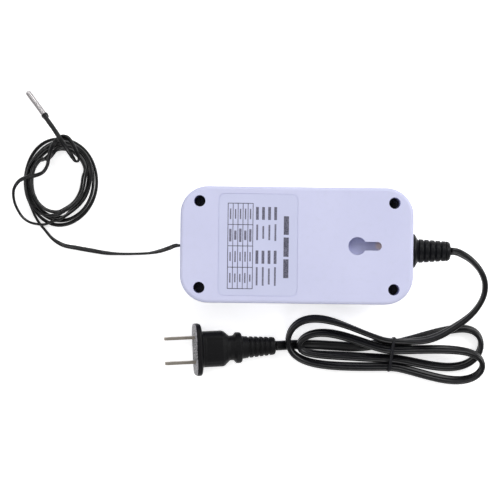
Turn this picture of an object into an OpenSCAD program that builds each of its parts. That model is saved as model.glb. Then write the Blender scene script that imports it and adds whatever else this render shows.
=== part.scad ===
// Plug in temperature controller with a mains lead and a sensor on a thin cable.
// It lies face down: +Z runs up through the back plate, +X towards the mains lead.
// The origin is on the surface, under the middle of the housing.

/* [Housing] */
// Overall length of the housing
case_length = 119; // [112:1:140]
// Overall width of the housing
case_width = 60; // [58:1:72]
// Overall height of both covers together
case_height = 31; // [30:0.5:36]
// Wall thickness of the covers
wall = 2; // [1.6:0.1:2.4]
// Corner radius seen from above
corner_r = 14.5; // [11:0.5:15.5]
// Radius round the edge of both plates
edge_r = 1.8; // [1:0.1:2]
// Draft of the side walls on each side
draft = 0.5; // [0:0.1:0.8]

/* [Hanging keyhole] */
// Diameter of the round entry
keyhole_d = 9.1; // [8:0.1:10]
// Width of the slot
slot_w = 4.4; // [3.6:0.1:5]
// From the middle of the entry to the end of the slot
slot_reach = 12.3; // [10:0.1:13]
// Depth of the pocket under the plate
pocket_depth = 5.5; // [4.5:0.5:6.5]

/* [Case screws] */
// Diameter of the access holes in the back
screw_hole_d = 5.8; // [5.5:0.1:6.5]
// Diameter of the screw heads
screw_head_d = 5.2; // [4.6:0.1:5.3]
// Distance of the screws from the end of the housing
screw_inset_x = 10.2; // [9:0.1:12]
// Distance of the screws from the side of the housing
screw_inset_y = 8.1; // [7.5:0.1:9]

/* [Rear label] */
// Length of the rating label along the housing
label_length = 39.8; // [30:0.2:42]
// Plate left free on each side of the rating label
label_side_gap = 4.3; // [4:0.1:8]

/* [Front] */
// Width of the display window along the housing
window_w = 15; // [12:0.5:16]
// Plate left free on each side of the display window
window_side_gap = 14.5; // [14:0.5:18]
// Diameter of the buttons
button_d = 7; // [6:0.1:8]
// Spacing of the buttons
button_spacing = 14; // [11:0.5:15]
// Travel of a button
button_travel = 0.5; // [0.3:0.1:0.7]

/* [Socket] */
// Spacing of the flat blades of a plug
blade_spacing = 12.7; // [12:0.1:13]
// Length of the socket's face along the housing
socket_w = 30; // [26:1:32]
// Distance of the socket's screws from the side of the housing
socket_screw_inset = 8.5; // [8:0.1:10]

/* [Mains lead] */
// Width of the flat mains cord
cord_w = 5.1; // [4.8:0.1:5.2]
// Thickness of the flat mains cord
cord_t = 2.9; // [2.6:0.1:3]
// Length of the strain relief outside the housing
relief_length = 19.8; // [15:0.1:22]
// Diameter of the strain relief at the housing
relief_d = 12; // [11:0.1:13]

/* [Plug] */
// Width of the plug's finger guard
guard_w = 27; // [24:0.5:28]
// Height of the plug's finger guard
guard_h = 21; // [19:0.5:21]
// Length of the moulded plug without its blades
plug_length = 41.6; // [36:0.1:44]
// Free length of the blades
blade_length = 15.6; // [15:0.1:18]

/* [Sensor] */
// Width of the flat sensor cable
sensor_w = 2.4; // [2.2:0.1:2.5]
// Thickness of the flat sensor cable
sensor_t = 1.3; // [1.1:0.1:1.3]
// Diameter of the probe's metal tube
probe_d = 3; // [2.6:0.1:3.2]
// Length of the probe's metal tube
probe_length = 15.4; // [14:0.1:18]

/* [Hidden] */
$fn = 48;
over = 0.2;
fit = 0.15;
seat = 0.3;
side_share = [-1, 1];

// Housing
half_l = case_length / 2;
half_w = case_width / 2;
joint_z = case_height / 2;
back_in = case_height - wall;
inner_l = case_length - 2 * wall;
inner_w = case_width - 2 * wall;
inner_r = corner_r - wall;
tongue_t = 0.8;
tongue_h = 1.4;
edge_steps = 8;

// Case screws
screw_x = half_l - screw_inset_x;
screw_y = half_w - screw_inset_y;
tower_wall = 1.6;
tower_d = screw_hole_d + 2 * tower_wall;
boss_d = 8;
screw_seat_t = 2.2;
screw_d = 2.9;
screw_pilot_d = screw_d + seat / 3;
screw_head_t = 1.9;
screw_floor = 5;
cross_t = 0.9;
cross_l = 3.2;
cross_depth = 1;

// Keyhole
keyhole_x_share = 0.515;
keyhole_x = half_l * keyhole_x_share;
pocket_wall = 1.4;
pocket_clear = 0.9;
pocket_w = keyhole_d + 2 * pocket_clear;
pocket_half = pocket_w / 2 + pocket_wall;
pocket_floor = back_in - pocket_depth;

// Label
label_inset = 39.9;
label_x = -half_l + label_inset;
label_width = case_width - 2 * label_side_gap;
label_r = 3;
label_t = 0.25;
label_recess = 0.3;

// Front plate
overlay_w = 40;
overlay_side_gap = 6;
overlay_l = case_width - 2 * overlay_side_gap;
overlay_r = 3;
overlay_t = 0.45;
overlay_recess = 0.6;
overlay_inset = 29;
overlay_x = half_l - overlay_inset;
window_inset = 21;
window_x = half_l - window_inset;
window_l = case_width - 2 * window_side_gap;
window_r = 1.5;
pane_flange = 1.2;
pane_flange_t = 0.8;
pane_face = overlay_recess - overlay_t;
button_inset = 40.5;
button_x = half_l - button_inset;
button_face = 0.25;
button_flange = 1;
button_flange_t = 1;
stem_d = 4;
led_inset = 32;
led_x = half_l - led_inset;
led_y = 10;
led_d = 3;
led_rim = 0.4;
led_rim_t = 1;
led_face = 0.7;
led_height = 6;
led_wire = 0.6;
led_wire_gap = 2;

// Socket insert
socket_inset = 33.5;
socket_x = -half_l + socket_inset;
socket_face = 0.5;
socket_r = 6;
socket_flange_w = 35;
socket_screw_y = half_w - socket_screw_inset;
socket_screw_gap = 3.5;
socket_l = 2 * (socket_screw_y - socket_screw_gap);
socket_flange_l = 2 * (socket_screw_y + socket_screw_gap);
socket_flange_t = 2;
socket_flange_r = 4;
socket_body_w = 26;
socket_body_gap = 6.5;
socket_body_l = 2 * (socket_screw_y - socket_body_gap);
socket_top = 17;
socket_boss_d = 6;
socket_screw_d = 2.2;
socket_screw_head_d = 8;
socket_screw_head_t = 1.4;
slot_l = 8.4;
slot_t = 2.6;
pin_hole_d = 5;
pin_hole_y_share = 0.6333;
pin_hole_y = socket_body_l / 2 * pin_hole_y_share;
pocket_x = 6;
pocket_y0 = 3.2;
pocket_y1_share = 0.8333;
pocket_y1 = socket_body_l / 2 * pocket_y1_share;
pocket_z = 4.5;
leaf_t = 0.6;
leaf_w = 7;
leaf_gap = 2.2;
contact_foot = 1;
tab_end = 0.25;
contact_h = 10;
retainer_t = 1.6;
retainer_screw_x = 9.5;
retainer_screw_d = 1.8;
retainer_head_d = 4;
retainer_head_t = 1.4;
wire_hole_x = 2.5;
wire_d = 2;

// Control board
board_z = 9;
board_t = 1.6;
board_top = board_z + board_t;
board_end_gap = 5.5;
board_side_gap = 4.5;
board_left_gap = 5.5;
board_x1 = half_l - board_end_gap;
board_x0 = -half_l + socket_inset + socket_flange_w / 2 + board_left_gap;
board_l = board_x1 - board_x0;
board_y = half_w - board_side_gap;
board_notch = 5;
board_screw_inset = 4.5;
board_screw_y = board_y - board_screw_inset;
board_screw_from_left = 5;
board_screw_from_right = 17;
board_screw_xs = [board_x0 + board_screw_from_left, board_x1 - board_screw_from_right];
board_boss_d = 6;
board_screw_d = 2;
board_screw_head_d = 4.6;
board_screw_head_t = 1.6;
board_screw_l = 6;

// Switches under the buttons
switch_w = 6;
switch_h = 3.5;
switch_face = board_z - switch_h;
switch_pocket = 1.6;
plunger_d = 3.5;
plunger_in = 0.8;
plunger_face = 4.4;

// Display
display_w = 14;
display_end_gap = 0.5;
display_l = window_l - 2 * display_end_gap;
display_face = wall + pane_flange_t + seat;
digit_w = 8;
digit_l_share = 0.1667;
digit_l = display_l * digit_l_share;
digit_spacing_share = 0.28;
digit_spacing = display_l * digit_spacing_share;
segment_t = 0.9;
segment_depth = 0.3;
digits = 3;

// Parts on the board. The tall ones end short of the keyhole's pocket and of the back plate
board_room = back_in - board_top;
relay_gap = 1.55;
relay_x_share = 0.608;
relay_room = keyhole_x - pocket_half - relay_gap - board_x0;
relay_top_gap = 3.1;
relay_size = [relay_room * relay_x_share, 17.4, board_room - relay_top_gap];
relay_y = 1;
relay_at = [board_x0 + relay_room - relay_size[0], relay_y];
relay_pin = 0.8;
relay_pin_l = 2.6;
relay_pin_x_share = [0.2, 0.5];
relay_pin_y_share = [0.15, 0.85];
capacitor_off = 8;
capacitor_gap = 1;
capacitor_top_gap = 3.9;
capacitor_l = keyhole_x - pocket_half - capacitor_gap - board_x0 - capacitor_off;
capacitor_size = [capacitor_l, 8.5, board_room - capacitor_top_gap];
capacitor_y = -12;
capacitor_at = [board_x0 + capacitor_off, capacitor_y];
bridge_off = [-25.2, -3.2];
bridge_at = [board_x1 + bridge_off[0], bridge_off[1]];
bridge_size = [8.5, 6.5, 3.3];
can_gaps = [1.9, 2.9];
can_xs = [keyhole_x - can_gaps[0], keyhole_x - can_gaps[1]];
can_ys = [14, -16];
can_ds = [8, 6.3];
can_hs = [11.5, 11];
can_groove = 0.4;
micro_gap = 1.2;
micro_off = [8, 3];
micro_x_share = 0.536;
micro_room = can_xs[1] - can_ds[1] / 2 - micro_gap - board_x0 - micro_off[0];
micro_at = [board_x0 + micro_off[0], -board_y + micro_off[1]];
micro_size = [micro_room * micro_x_share, 4, 1.6];
micro_pin_l = 1.2;
header_off = [0.6, 5.3];
header_at = [board_x0 + header_off[0], header_off[1] - board_screw_y];
header_size = [5.8, 7.4, 7];
header_wall = 0.7;
plugtop_h = 4;
regulator_off = 13;
regulator_x = board_x1 - regulator_off;
regulator_y = 13;
regulator_d = 4.8;
regulator_flat = 1.2;
regulator_h = 4.6;
regulator_lift = 2;
varistor_off = 13.6;
varistor_x = board_x1 - varistor_off;
varistor_y = -14;
varistor_d = 10;
varistor_t = 4;
fuse_off = 8;
fuse_x = board_x1 - fuse_off;
fuse_d = 5;
fuse_l = 20;
fuse_cap_l = 5;
fuse_glass_d = 4.4;
fuse_lift_share = 0.13;
fuse_axis = fuse_d / 2 + fuse_lift_share * (pocket_floor - pocket_wall - board_top);

// Inlets of the mains lead and the sensor cable
relief_y = -2.1;
relief_neck_d = 9;
relief_inner_t = 2.5;
relief_flange_d = 17.4;
relief_flange_t = 1.7;
relief_tip_d = 10;
relief_ribs = 5;
relief_groove = 0.5;
relief_lip = 0.3;
relief_nose = 2;
// One rib: share of its length, share of the groove's depth
relief_rib_shares = [[0.02, 1], [0.14, 1], [0.26, 0.4], [0.42, 0], [0.74, 0], [0.9, 0.4]];
sensor_y = -0.8;
sensor_gap = 0.2;
tie_band = 1.5;
tie_band_t = 0.8;

// Routes, in round millimetres: the free stretches of both cords
mains_route = [
    [79.3, -2.1, 15.5], [81.3, -2.1, 15.5], [87.1, -4.4, 15.2], [92.1, -8.2, 14.5],
    [95.6, -12.5, 13.5], [97.8, -18.2, 12.5], [97.6, -23.9, 11.6], [95.5, -29.1, 10.8],
    [91.8, -34.1, 10.1], [87.0, -38.3, 9.6], [81.4, -42.1, 9.2], [75.4, -45.6, 8.8],
    [68.9, -48.0, 8.4], [62.4, -48.9, 7.4], [58.4, -49.2, 6.8], [55.6, -49.2, 6.8]
];
tail_route = [
    [45.4, -50.9, 2.3], [43.4, -50.9, 2.3], [38.4, -51.9, 1.7], [31.7, -52.5, 1.6],
    [21.7, -52.2, 1.6], [13.4, -51.8, 1.6], [2.9, -51.7, 1.6], [-3.0, -51.9, 3.0],
    [-7.4, -52.2, 4.3], [-10.1, -52.3, 4.7]
];
sensor_route = [
    [-59.5, -0.8, 15.5], [-61.3, -0.8, 15.5], [-65.2, -2.1, 12.4], [-70.5, -3.8, 7.4],
    [-76.0, -4.9, 4.2], [-84.0, -5.4, 1.8], [-92.0, -5.5, 1.3], [-99.0, -5.1, 1.3],
    [-106.0, -4.0, 1.3], [-114.4, -2.6, 1.3], [-121.4, -1.2, 1.3], [-126.7, 1.9, 1.3],
    [-130.6, 6.2, 1.3], [-134.4, 10.9, 1.3], [-136.6, 14.8, 1.3], [-137.5, 16.9, 1.3]
];
probe_route = [
    [-121.4, 54.4, 4.2], [-119.3, 54.9, 4.3], [-116.6, 53.1, 6.2], [-114.6, 50.0, 7.3], [-113.0, 46.8, 7.5],
    [-111.7, 43.6, 7.5], [-112.4, 41.2, 7.5], [-114.6, 41.4, 7.6], [-117.6, 45.6, 8.0],
    [-120.2, 50.0, 8.3], [-123.0, 54.5, 8.2], [-126.0, 58.9, 6.1],
    [-128.4, 62.2, 3.7], [-129.7, 63.9, 3.5]
];

// Hank: five runs side by side under the tie, four turns between them
waist_x = 50.5;
run_y = [-50.9, -49.2, -53.7, -58.2, -62.5];
run_z = [2.9, 6.8, 6.6, 3.5, 3.5];
// Each turn: side, reach, first run, last run, shift, widening, lean, rise
hank_turns = [
    [-1, 53.8, 1, 4, 6.6, 16.2, 7.0, 3.6],
    [1, 47.0, 4, 2, -2.8, -10.9, -4.3, 3.6],
    [-1, 48.1, 2, 3, 4.1, 9.6, 8.0, 2.1],
    [1, 46.8, 3, 0, 4.4, -16.6, -1.7, 0]
];
hank_rings = 12;
hank_draw_share = 1.4;
hank_sides = 6;
// The cord leans over on the straight runs: degrees at the tie, degrees more along the run
hank_lean = 25;
hank_lean_more = 40;
lean_in_share = 0.35;
flat_from_share = 0.8;
flat_drop = 0.6;
tie_tilt = -9.2;
tie_y = -56;
tie_l = 18.6;
tie_h = 10;
tie_t = 0.65;
tie_w = 1.6;
tie_r = 2.4;
tie_lift = 0.05;

// Sensor cable coil: two layers, spiralling in below and out above
coil_at = [-122.9, 32.2];
coil_half = [18.9, 22.8];
coil_start = 215;
coil_gap = 0.45;
coil_step = sensor_t + coil_gap;
coil_layer_gap = 0.5;
coil_layer = sensor_w + coil_layer_gap;
coil_z = sensor_w / 2 + fit / 2;
coil_in_turns = 3.5;
coil_reverse_share = 0.4;
coil_turns = 6.34;
coil_rings = 24;

// Plug
plug_at = [-10.1, -52.3, 4.7];
plug_dip = 8.5;
plug_yaw = 3.1;
guard_t = 3;
guard_edge = 0.8;
face_r = 6;
core_w = 20.6;
core_h = 12.6;
core_r = 3;
core_in = 6;
core_out = 0.4;
blade_t = 1.5;
blade_w = 6.35;
blade_in = 4;
blade_hole_d = 3;
blade_hole_at = 4.2;
blade_nose = 1.2;
grip_w = 6;
tail_ribs = 5;
loft_sides = 24;

// Probe
probe_root = [-131.5, 66.3, 3.2];
probe_yaw = 127.3;
probe_dip = 95.2;
probe_wall = 0.3;
sleeve_d = 3.6;
sleeve_back = 2;
sleeve_over = 0.8;
bead_d = 1.6;
potting_l = 4;

function unit(v) = v / norm(v);
function ease(t) = let (c = min(1, max(0, t))) c * c * (3 - 2 * c);
function mix(a, b, t) = a + (b - a) * t;

function heading(p, i) =
    i == 0 ? unit(p[1] - p[0])
    : i == len(p) - 1 ? unit(p[i] - p[i - 1])
    : unit(unit(p[i + 1] - p[i]) + unit(p[i] - p[i - 1]));

// One ring of a flat cord: wide across, thick through, rolled about its run from the plane
// that is square to the given direction
function ring(p, i, wide, thick, roll, sides, up) =
    let (t = heading(p, i), s = unit(cross(up, t)), u = cross(t, s))
    [for (k = [0:sides - 1])
        let (a = 360 * k / sides, x = wide / 2 * cos(a), y = thick / 2 * sin(a))
        p[i] + s * (x * cos(roll) - y * sin(roll)) + u * (x * sin(roll) + y * cos(roll))];

function rings(p, wide, thick, rolls, sides, up = [0, 0, 1]) =
    [for (i = [0:len(p) - 1]) ring(p, i, wide, thick, rolls[i], sides, up)];

function flat_list(lists) = [for (l = lists) for (v = l) v];

// Least distance between points of rings that lie apart along the same tube
function own_gap(rows, apart, near) =
    min([for (i = [0:len(rows) - 1 - apart]) for (j = [i + apart:len(rows) - 1])
        if (norm(rows[i][0] - rows[j][0]) < near)
            min([for (a = rows[i]) for (b = rows[j]) norm(a - b)])]);

// Skin over rings of points, closed by a flat cap at each end
module skin(rows) {
    n = len(rows[0]);
    m = len(rows);
    walls = [for (i = [0:m - 2]) for (k = [0:n - 1])
        let (a = i * n + k, b = i * n + (k + 1) % n)
        [[a, a + n, b], [b, a + n, b + n]]];
    caps = concat([[for (k = [0:n - 1]) k]],
        [[for (k = [n - 1:-1:0]) (m - 1) * n + k]]);
    polyhedron(flat_list(rows), concat(flat_list(walls), caps), convexity = 10);
}

module cord(p, wide, thick, roll, sides, up = [0, 0, 1]) {
    skin(rings(p, wide, thick, [for (q = p) roll], sides, up));
}

module round_rect(l, w, r) {
    square([l - 2 * r, w], center = true);
    square([l, w - 2 * r], center = true);
    for (x = side_share)
        for (y = side_share)
            translate([x * (l / 2 - r), y * (w / 2 - r)])
                circle(r);
}

module block(at, size, z) {
    translate([at[0], at[1], z])
        cube(size);
}

module pillar(x, y, z, d, h) {
    translate([x, y, z])
        cylinder(d = d, h = h);
}

module at_screws() {
    for (x = side_share)
        for (y = side_share)
            translate([x * screw_x, y * screw_y, 0])
                children();
}

// Side of a cover from the middle of the corner arc outwards, plate at zero
module cover_profile() {
    lean = [for (k = [0:edge_steps])
        let (a = 90 * k / edge_steps)
        [corner_r - draft - edge_r * (1 - sin(a)), edge_r * (1 - cos(a))]];
    polygon(concat([[0, 0]], lean, [[corner_r, joint_z], [0, joint_z]]));
}

// Outer form of one cover: its side swept round a rounded rectangle
module cover_form() {
    run_l = case_length - 2 * corner_r;
    run_w = case_width - 2 * corner_r;
    for (q = [0:3]) {
        long = q % 2 == 0;
        rotate(90 * q)
            translate([(long ? run_l : run_w) / 2, (long ? run_w : run_l) / 2, 0])
                rotate_extrude(angle = 90)
                    cover_profile();
        rotate(90 * q)
            translate([(long ? run_l : run_w) / 2, (long ? run_w : run_l) / 2, 0])
                rotate([90, 0, 0])
                    linear_extrude(long ? run_w : run_l)
                        cover_profile();
    }
    translate([-run_l / 2, -run_w / 2, 0])
        cube([run_l, run_w, joint_z]);
}

module cover_shell() {
    difference() {
        cover_form();
        translate([0, 0, wall])
            linear_extrude(joint_z)
                round_rect(inner_l, inner_w, inner_r);
    }
}

// Openings in the end walls, half in each cover
module inlet_cuts() {
    translate([half_l - wall - over, relief_y, joint_z])
        rotate([0, 90, 0])
            cylinder(d = relief_neck_d, h = wall + 2 * over);
    sensor_cut = [wall + 2 * over, sensor_t + 2 * sensor_gap, sensor_w + 2 * sensor_gap];
    translate([-half_l + wall / 2, sensor_y, joint_z])
        cube(sensor_cut, center = true);
}

module keyhole_2d(entry, slot) {
    circle(d = entry);
    translate([0, -slot / 2])
        square([slot_reach - slot_w / 2, slot]);
    translate([slot_reach - slot_w / 2, 0])
        circle(d = slot);
}

module tongue_2d(inset, t) {
    difference() {
        round_rect(case_length - 2 * inset, case_width - 2 * inset, corner_r - inset);
        round_rect(case_length - 2 * (inset + t), case_width - 2 * (inset + t), corner_r - inset - t);
    }
}

module rear_cover() {
    pocket_end = slot_reach - slot_w / 2;
    color([0.80, 0.81, 0.91])
    difference() {
        union() {
            translate([0, 0, case_height])
                mirror([0, 0, 1])
                    cover_shell();
            at_screws()
                translate([0, 0, joint_z])
                    cylinder(d = tower_d, h = back_in - joint_z + over);
            translate([keyhole_x, 0, pocket_floor - pocket_wall])
                linear_extrude(pocket_depth + pocket_wall + over)
                    keyhole_2d(pocket_w + 2 * pocket_wall, pocket_w + 2 * pocket_wall);
        }
        at_screws() {
            translate([0, 0, joint_z + screw_seat_t])
                cylinder(d = screw_hole_d, h = case_height);
            translate([0, 0, joint_z - over])
                cylinder(d = screw_d + 2 * fit, h = case_height);
        }
        translate([keyhole_x, 0, pocket_floor])
            linear_extrude(pocket_depth)
                keyhole_2d(pocket_w, pocket_w);
        translate([keyhole_x, 0, back_in - over])
            linear_extrude(wall + 2 * over)
                keyhole_2d(keyhole_d, slot_w);
        translate([label_x, 0, case_height - label_recess])
            linear_extrude(label_recess + over)
                round_rect(label_length + 2 * fit, label_width + 2 * fit, label_r);
        translate([0, 0, joint_z - over])
            linear_extrude(tongue_h + fit + over)
                tongue_2d(wall - tongue_t - fit, tongue_t + fit + over);
        inlet_cuts();
    }
}

module front_openings_2d(gap) {
    translate([window_x, 0])
        round_rect(window_w + 2 * gap, window_l + 2 * gap, window_r);
    for (k = [-1:1])
        translate([button_x, k * button_spacing])
            circle(d = button_d + 2 * seat);
    for (y = side_share)
        translate([led_x, y * led_y])
            circle(d = led_d + 2 * fit);
}

module front_cover() {
    color([0.79, 0.80, 0.90])
    difference() {
        union() {
            cover_shell();
            translate([0, 0, joint_z - over])
                linear_extrude(tongue_h + over)
                    tongue_2d(wall - tongue_t, tongue_t);
            at_screws()
                translate([0, 0, wall - over])
                    cylinder(d = boss_d, h = joint_z - wall + over);
            for (x = board_screw_xs)
                for (y = side_share)
                    pillar(x, y * board_screw_y, wall - over, board_boss_d, board_z - wall + over);
            for (y = side_share)
                pillar(socket_x, y * socket_screw_y, wall - over, socket_boss_d, socket_flange_t + over);
        }
        at_screws()
            translate([0, 0, screw_floor])
                cylinder(d = screw_pilot_d, h = case_height);
        for (x = board_screw_xs)
            for (y = side_share)
                pillar(x, y * board_screw_y, board_z - board_screw_l, board_screw_d, case_height);
        for (y = side_share)
            pillar(socket_x, y * socket_screw_y, wall / 2, socket_screw_d, case_height);
        translate([overlay_x, 0, -over])
            linear_extrude(overlay_recess + over)
                round_rect(overlay_w + 2 * fit, overlay_l + 2 * fit, overlay_r);
        translate([0, 0, -over])
            linear_extrude(wall + 2 * over)
                front_openings_2d(0);
        translate([socket_x, 0, -over])
            linear_extrude(wall + 2 * over)
                round_rect(socket_w + 2 * fit, socket_l + 2 * fit, socket_r);
        inlet_cuts();
    }
}

module cross_recess(z) {
    for (a = [0, 90])
        translate([0, 0, z])
            rotate(a)
                cube([cross_l, cross_t, 2 * cross_depth], center = true);
}

module case_screws() {
    color([0.10, 0.10, 0.11])
    at_screws()
        difference() {
            union() {
                translate([0, 0, screw_floor + screw_seat_t])
                    cylinder(d = screw_d, h = joint_z - screw_floor + over);
                translate([0, 0, joint_z + screw_seat_t])
                    cylinder(d = screw_head_d, h = screw_head_t);
            }
            cross_recess(joint_z + screw_seat_t + screw_head_t);
        }
}

module rear_label() {
    color([0.78, 0.79, 0.88])
    translate([label_x, 0, case_height - label_recess])
        linear_extrude(label_t)
            round_rect(label_length, label_width, label_r);
}

module front_overlay() {
    color([0.16, 0.17, 0.20])
    translate([0, 0, overlay_recess - overlay_t])
        linear_extrude(overlay_t)
            difference() {
                translate([overlay_x, 0])
                    round_rect(overlay_w, overlay_l, overlay_r);
                front_openings_2d(fit);
            }
}

module display_window() {
    color([0.35, 0.08, 0.08])
    translate([window_x, 0, 0]) {
        translate([0, 0, pane_face])
            linear_extrude(wall - pane_face)
                round_rect(window_w - 2 * fit, window_l - 2 * fit, window_r);
        translate([0, 0, wall])
            linear_extrude(pane_flange_t)
                round_rect(window_w + 2 * pane_flange, window_l + 2 * pane_flange, window_r);
    }
}

module button_cap(k) {
    flange_z = wall + seat;
    color([0.85, 0.86, 0.88])
    translate([button_x, k * button_spacing, 0]) {
        translate([0, 0, button_face])
            cylinder(d = button_d, h = flange_z - button_face + over);
        translate([0, 0, flange_z])
            cylinder(d = button_d + 2 * button_flange, h = button_flange_t);
        translate([0, 0, flange_z])
            cylinder(d = stem_d, h = plunger_face - flange_z);
    }
}

module button_set() {
    button_cap(-1);
}

module button_up() {
    button_cap(0);
}

module button_down() {
    button_cap(1);
}

module plunger(k) {
    color([0.12, 0.12, 0.13])
    translate([button_x, k * button_spacing, plunger_face])
        cylinder(d = plunger_d, h = switch_face + plunger_in - plunger_face);
}

module plunger_set() {
    plunger(-1);
}

module plunger_up() {
    plunger(0);
}

module plunger_down() {
    plunger(1);
}

module tact_switches() {
    color([0.20, 0.20, 0.22])
    for (k = [-1:1])
        translate([button_x, k * button_spacing, 0])
            difference() {
                translate([-switch_w / 2, -switch_w / 2, switch_face])
                    cube([switch_w, switch_w, switch_h]);
                translate([0, 0, switch_face - over])
                    cylinder(d = plunger_d + 2 * fit, h = switch_pocket + over);
            }
}

module control_board() {
    notch = board_notch + over;
    color([0.07, 0.30, 0.16])
    difference() {
        translate([board_x0, -board_y, board_z])
            cube([board_l, 2 * board_y, board_t]);
        for (y = side_share) {
            corner_y = y > 0 ? screw_y - board_notch : board_notch - screw_y - half_w;
            translate([screw_x - board_notch, corner_y, board_z - over])
                cube([half_l, half_w, board_t + 2 * over]);
        }
        for (x = board_screw_xs)
            for (y = side_share)
                pillar(x, y * board_screw_y, board_z - over, board_screw_d + 2 * fit, board_t + 2 * over);
    }
}

module board_screws() {
    board_foot = board_top - board_screw_l;
    color([0.75, 0.75, 0.76])
    for (x = board_screw_xs)
        for (y = side_share)
            difference() {
                union() {
                    pillar(x, y * board_screw_y, board_top, board_screw_head_d, board_screw_head_t);
                    pillar(x, y * board_screw_y, board_foot, board_screw_d, board_screw_l + over);
                }
                translate([x, y * board_screw_y, 0])
                    cross_recess(board_top + board_screw_head_t);
            }
}

module display_module() {
    color([0.10, 0.10, 0.11])
    difference() {
        translate([window_x - display_w / 2, -display_l / 2, display_face])
            cube([display_w, display_l, board_z - display_face]);
        segments();
    }
}

// Seven bars per digit; the digits read with +X up
module segments() {
    reach = digit_w / 2 - segment_t;
    for (d = [0:digits - 1])
        translate([window_x, (d - (digits - 1) / 2) * digit_spacing, display_face - over])
            linear_extrude(segment_depth + over) {
                for (k = [-1:1])
                    translate([k * digit_w / 2, 0])
                        square([segment_t, digit_l - 2 * segment_t], center = true);
                for (x = side_share)
                    for (y = side_share)
                        translate([x * digit_w / 4, y * digit_l / 2])
                            square([reach - segment_t / 2, segment_t], center = true);
            }
}

module display_segments() {
    color([0.85, 0.15, 0.12])
    intersection() {
        segments();
        translate([window_x - display_w / 2, -display_l / 2, display_face])
            cube([display_w, display_l, board_z]);
    }
}

module indicator_leds() {
    color([0.80, 0.20, 0.15])
    for (y = side_share)
        translate([led_x, y * led_y, 0]) {
            translate([0, 0, led_face])
                cylinder(d = led_d, h = led_height);
            translate([0, 0, led_face + led_height - led_rim_t])
                cylinder(d = led_d + 2 * led_rim, h = led_rim_t);
            for (x = side_share)
                translate([x * led_wire_gap / 2, 0, (led_face + led_height + board_z) / 2])
                    cube([led_wire, led_wire, board_z - led_face - led_height], center = true);
        }
}

module microcontroller() {
    pins = 7;
    pin_pitch = micro_size[0] / (pins + 1);
    middle_y = micro_at[1] + micro_size[1] / 2;
    color([0.09, 0.09, 0.10]) {
        block(micro_at, micro_size, board_top);
        for (k = [1:pins])
            translate([micro_at[0] + k * pin_pitch, middle_y, board_top + led_wire / 2])
                cube([led_wire, micro_size[1] + 2 * micro_pin_l, led_wire], center = true);
    }
}

module relay() {
    color([0.15, 0.30, 0.62])
    block(relay_at, relay_size, board_top);
}

module relay_pins() {
    color([0.75, 0.75, 0.76])
    for (x = relay_pin_x_share)
        for (y = relay_pin_y_share)
            translate([x * relay_size[0], y * relay_size[1], 0])
                pillar(relay_at[0], relay_at[1], board_z - relay_pin_l, relay_pin, relay_pin_l);
}

module supply_capacitor() {
    color([0.75, 0.62, 0.15])
    block(capacitor_at, capacitor_size, board_top);
}

module electrolytic_capacitors() {
    color([0.12, 0.13, 0.20])
    for (k = [0:1])
        difference() {
            pillar(can_xs[k], can_ys[k], board_top, can_ds[k], can_hs[k]);
            translate([can_xs[k], can_ys[k], board_top + can_hs[k] - cross_depth])
                for (a = [0, 90])
                    rotate(a)
                        translate([-can_ds[k] / 3, -can_groove / 2, cross_depth - can_groove])
                            cube([2 * can_ds[k] / 3, can_groove, cross_depth]);
        }
}

module bridge_rectifier() {
    color([0.10, 0.10, 0.11])
    block(bridge_at, bridge_size, board_top);
}

module voltage_regulator() {
    color([0.10, 0.10, 0.11]) {
        translate([regulator_x, regulator_y, board_top + regulator_lift])
            linear_extrude(regulator_h)
                difference() {
                    circle(d = regulator_d);
                    translate([-regulator_d, -regulator_d - regulator_flat])
                        square([2 * regulator_d, regulator_d]);
                }
        for (k = [-1:1])
            translate([regulator_x + k * regulator_flat, regulator_y, board_top + regulator_lift / 2])
                cube([led_wire, led_wire, regulator_lift], center = true);
    }
}

module varistor() {
    color([0.10, 0.25, 0.55]) {
        translate([varistor_x - varistor_t / 2, varistor_y, board_top + regulator_lift + varistor_d / 2])
            rotate([0, 90, 0])
                cylinder(d = varistor_d, h = varistor_t);
        for (y = side_share)
            translate([varistor_x, varistor_y + y * varistor_d / 4, board_top + regulator_lift])
                cube([led_wire, led_wire, 2 * regulator_lift], center = true);
    }
}

module fuse_tube() {
    color([0.85, 0.88, 0.88])
    translate([fuse_x, fuse_l / 2 - fuse_cap_l, board_top + fuse_axis])
        rotate([90, 0, 0])
            cylinder(d = fuse_glass_d, h = fuse_l - 2 * fuse_cap_l);
}

module fuse_caps() {
    color([0.78, 0.78, 0.76])
    for (y = side_share)
        translate([fuse_x, y * (fuse_l - fuse_cap_l) / 2, board_top + fuse_axis]) {
            rotate([90, 0, 0])
                cylinder(d = fuse_d, h = fuse_cap_l, center = true);
            translate([0, 0, -fuse_axis / 2])
                cube([fuse_d / 2, fuse_cap_l / 2, fuse_axis], center = true);
        }
}

module sensor_header() {
    inner = [header_size[0] - 2 * header_wall, header_size[1] - 2 * header_wall, header_size[2]];
    color([0.92, 0.91, 0.86])
    difference() {
        block(header_at, header_size, board_top);
        block([header_at[0] + header_wall, header_at[1] + header_wall], inner, board_top + header_wall);
    }
}

module sensor_connector() {
    gap = header_wall + fit;
    size = [header_size[0] - 2 * gap, header_size[1] - 2 * gap, header_size[2] - header_wall + plugtop_h / 2];
    color([0.94, 0.93, 0.90])
    block([header_at[0] + gap, header_at[1] + gap], size, board_top + header_wall);
}

module socket_apertures_2d() {
    for (y = side_share)
        translate([socket_x, 0]) {
            translate([0, y * blade_spacing / 2])
                square([slot_l, slot_t], center = true);
            translate([0, y * pin_hole_y])
                circle(d = pin_hole_d);
        }
}

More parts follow.
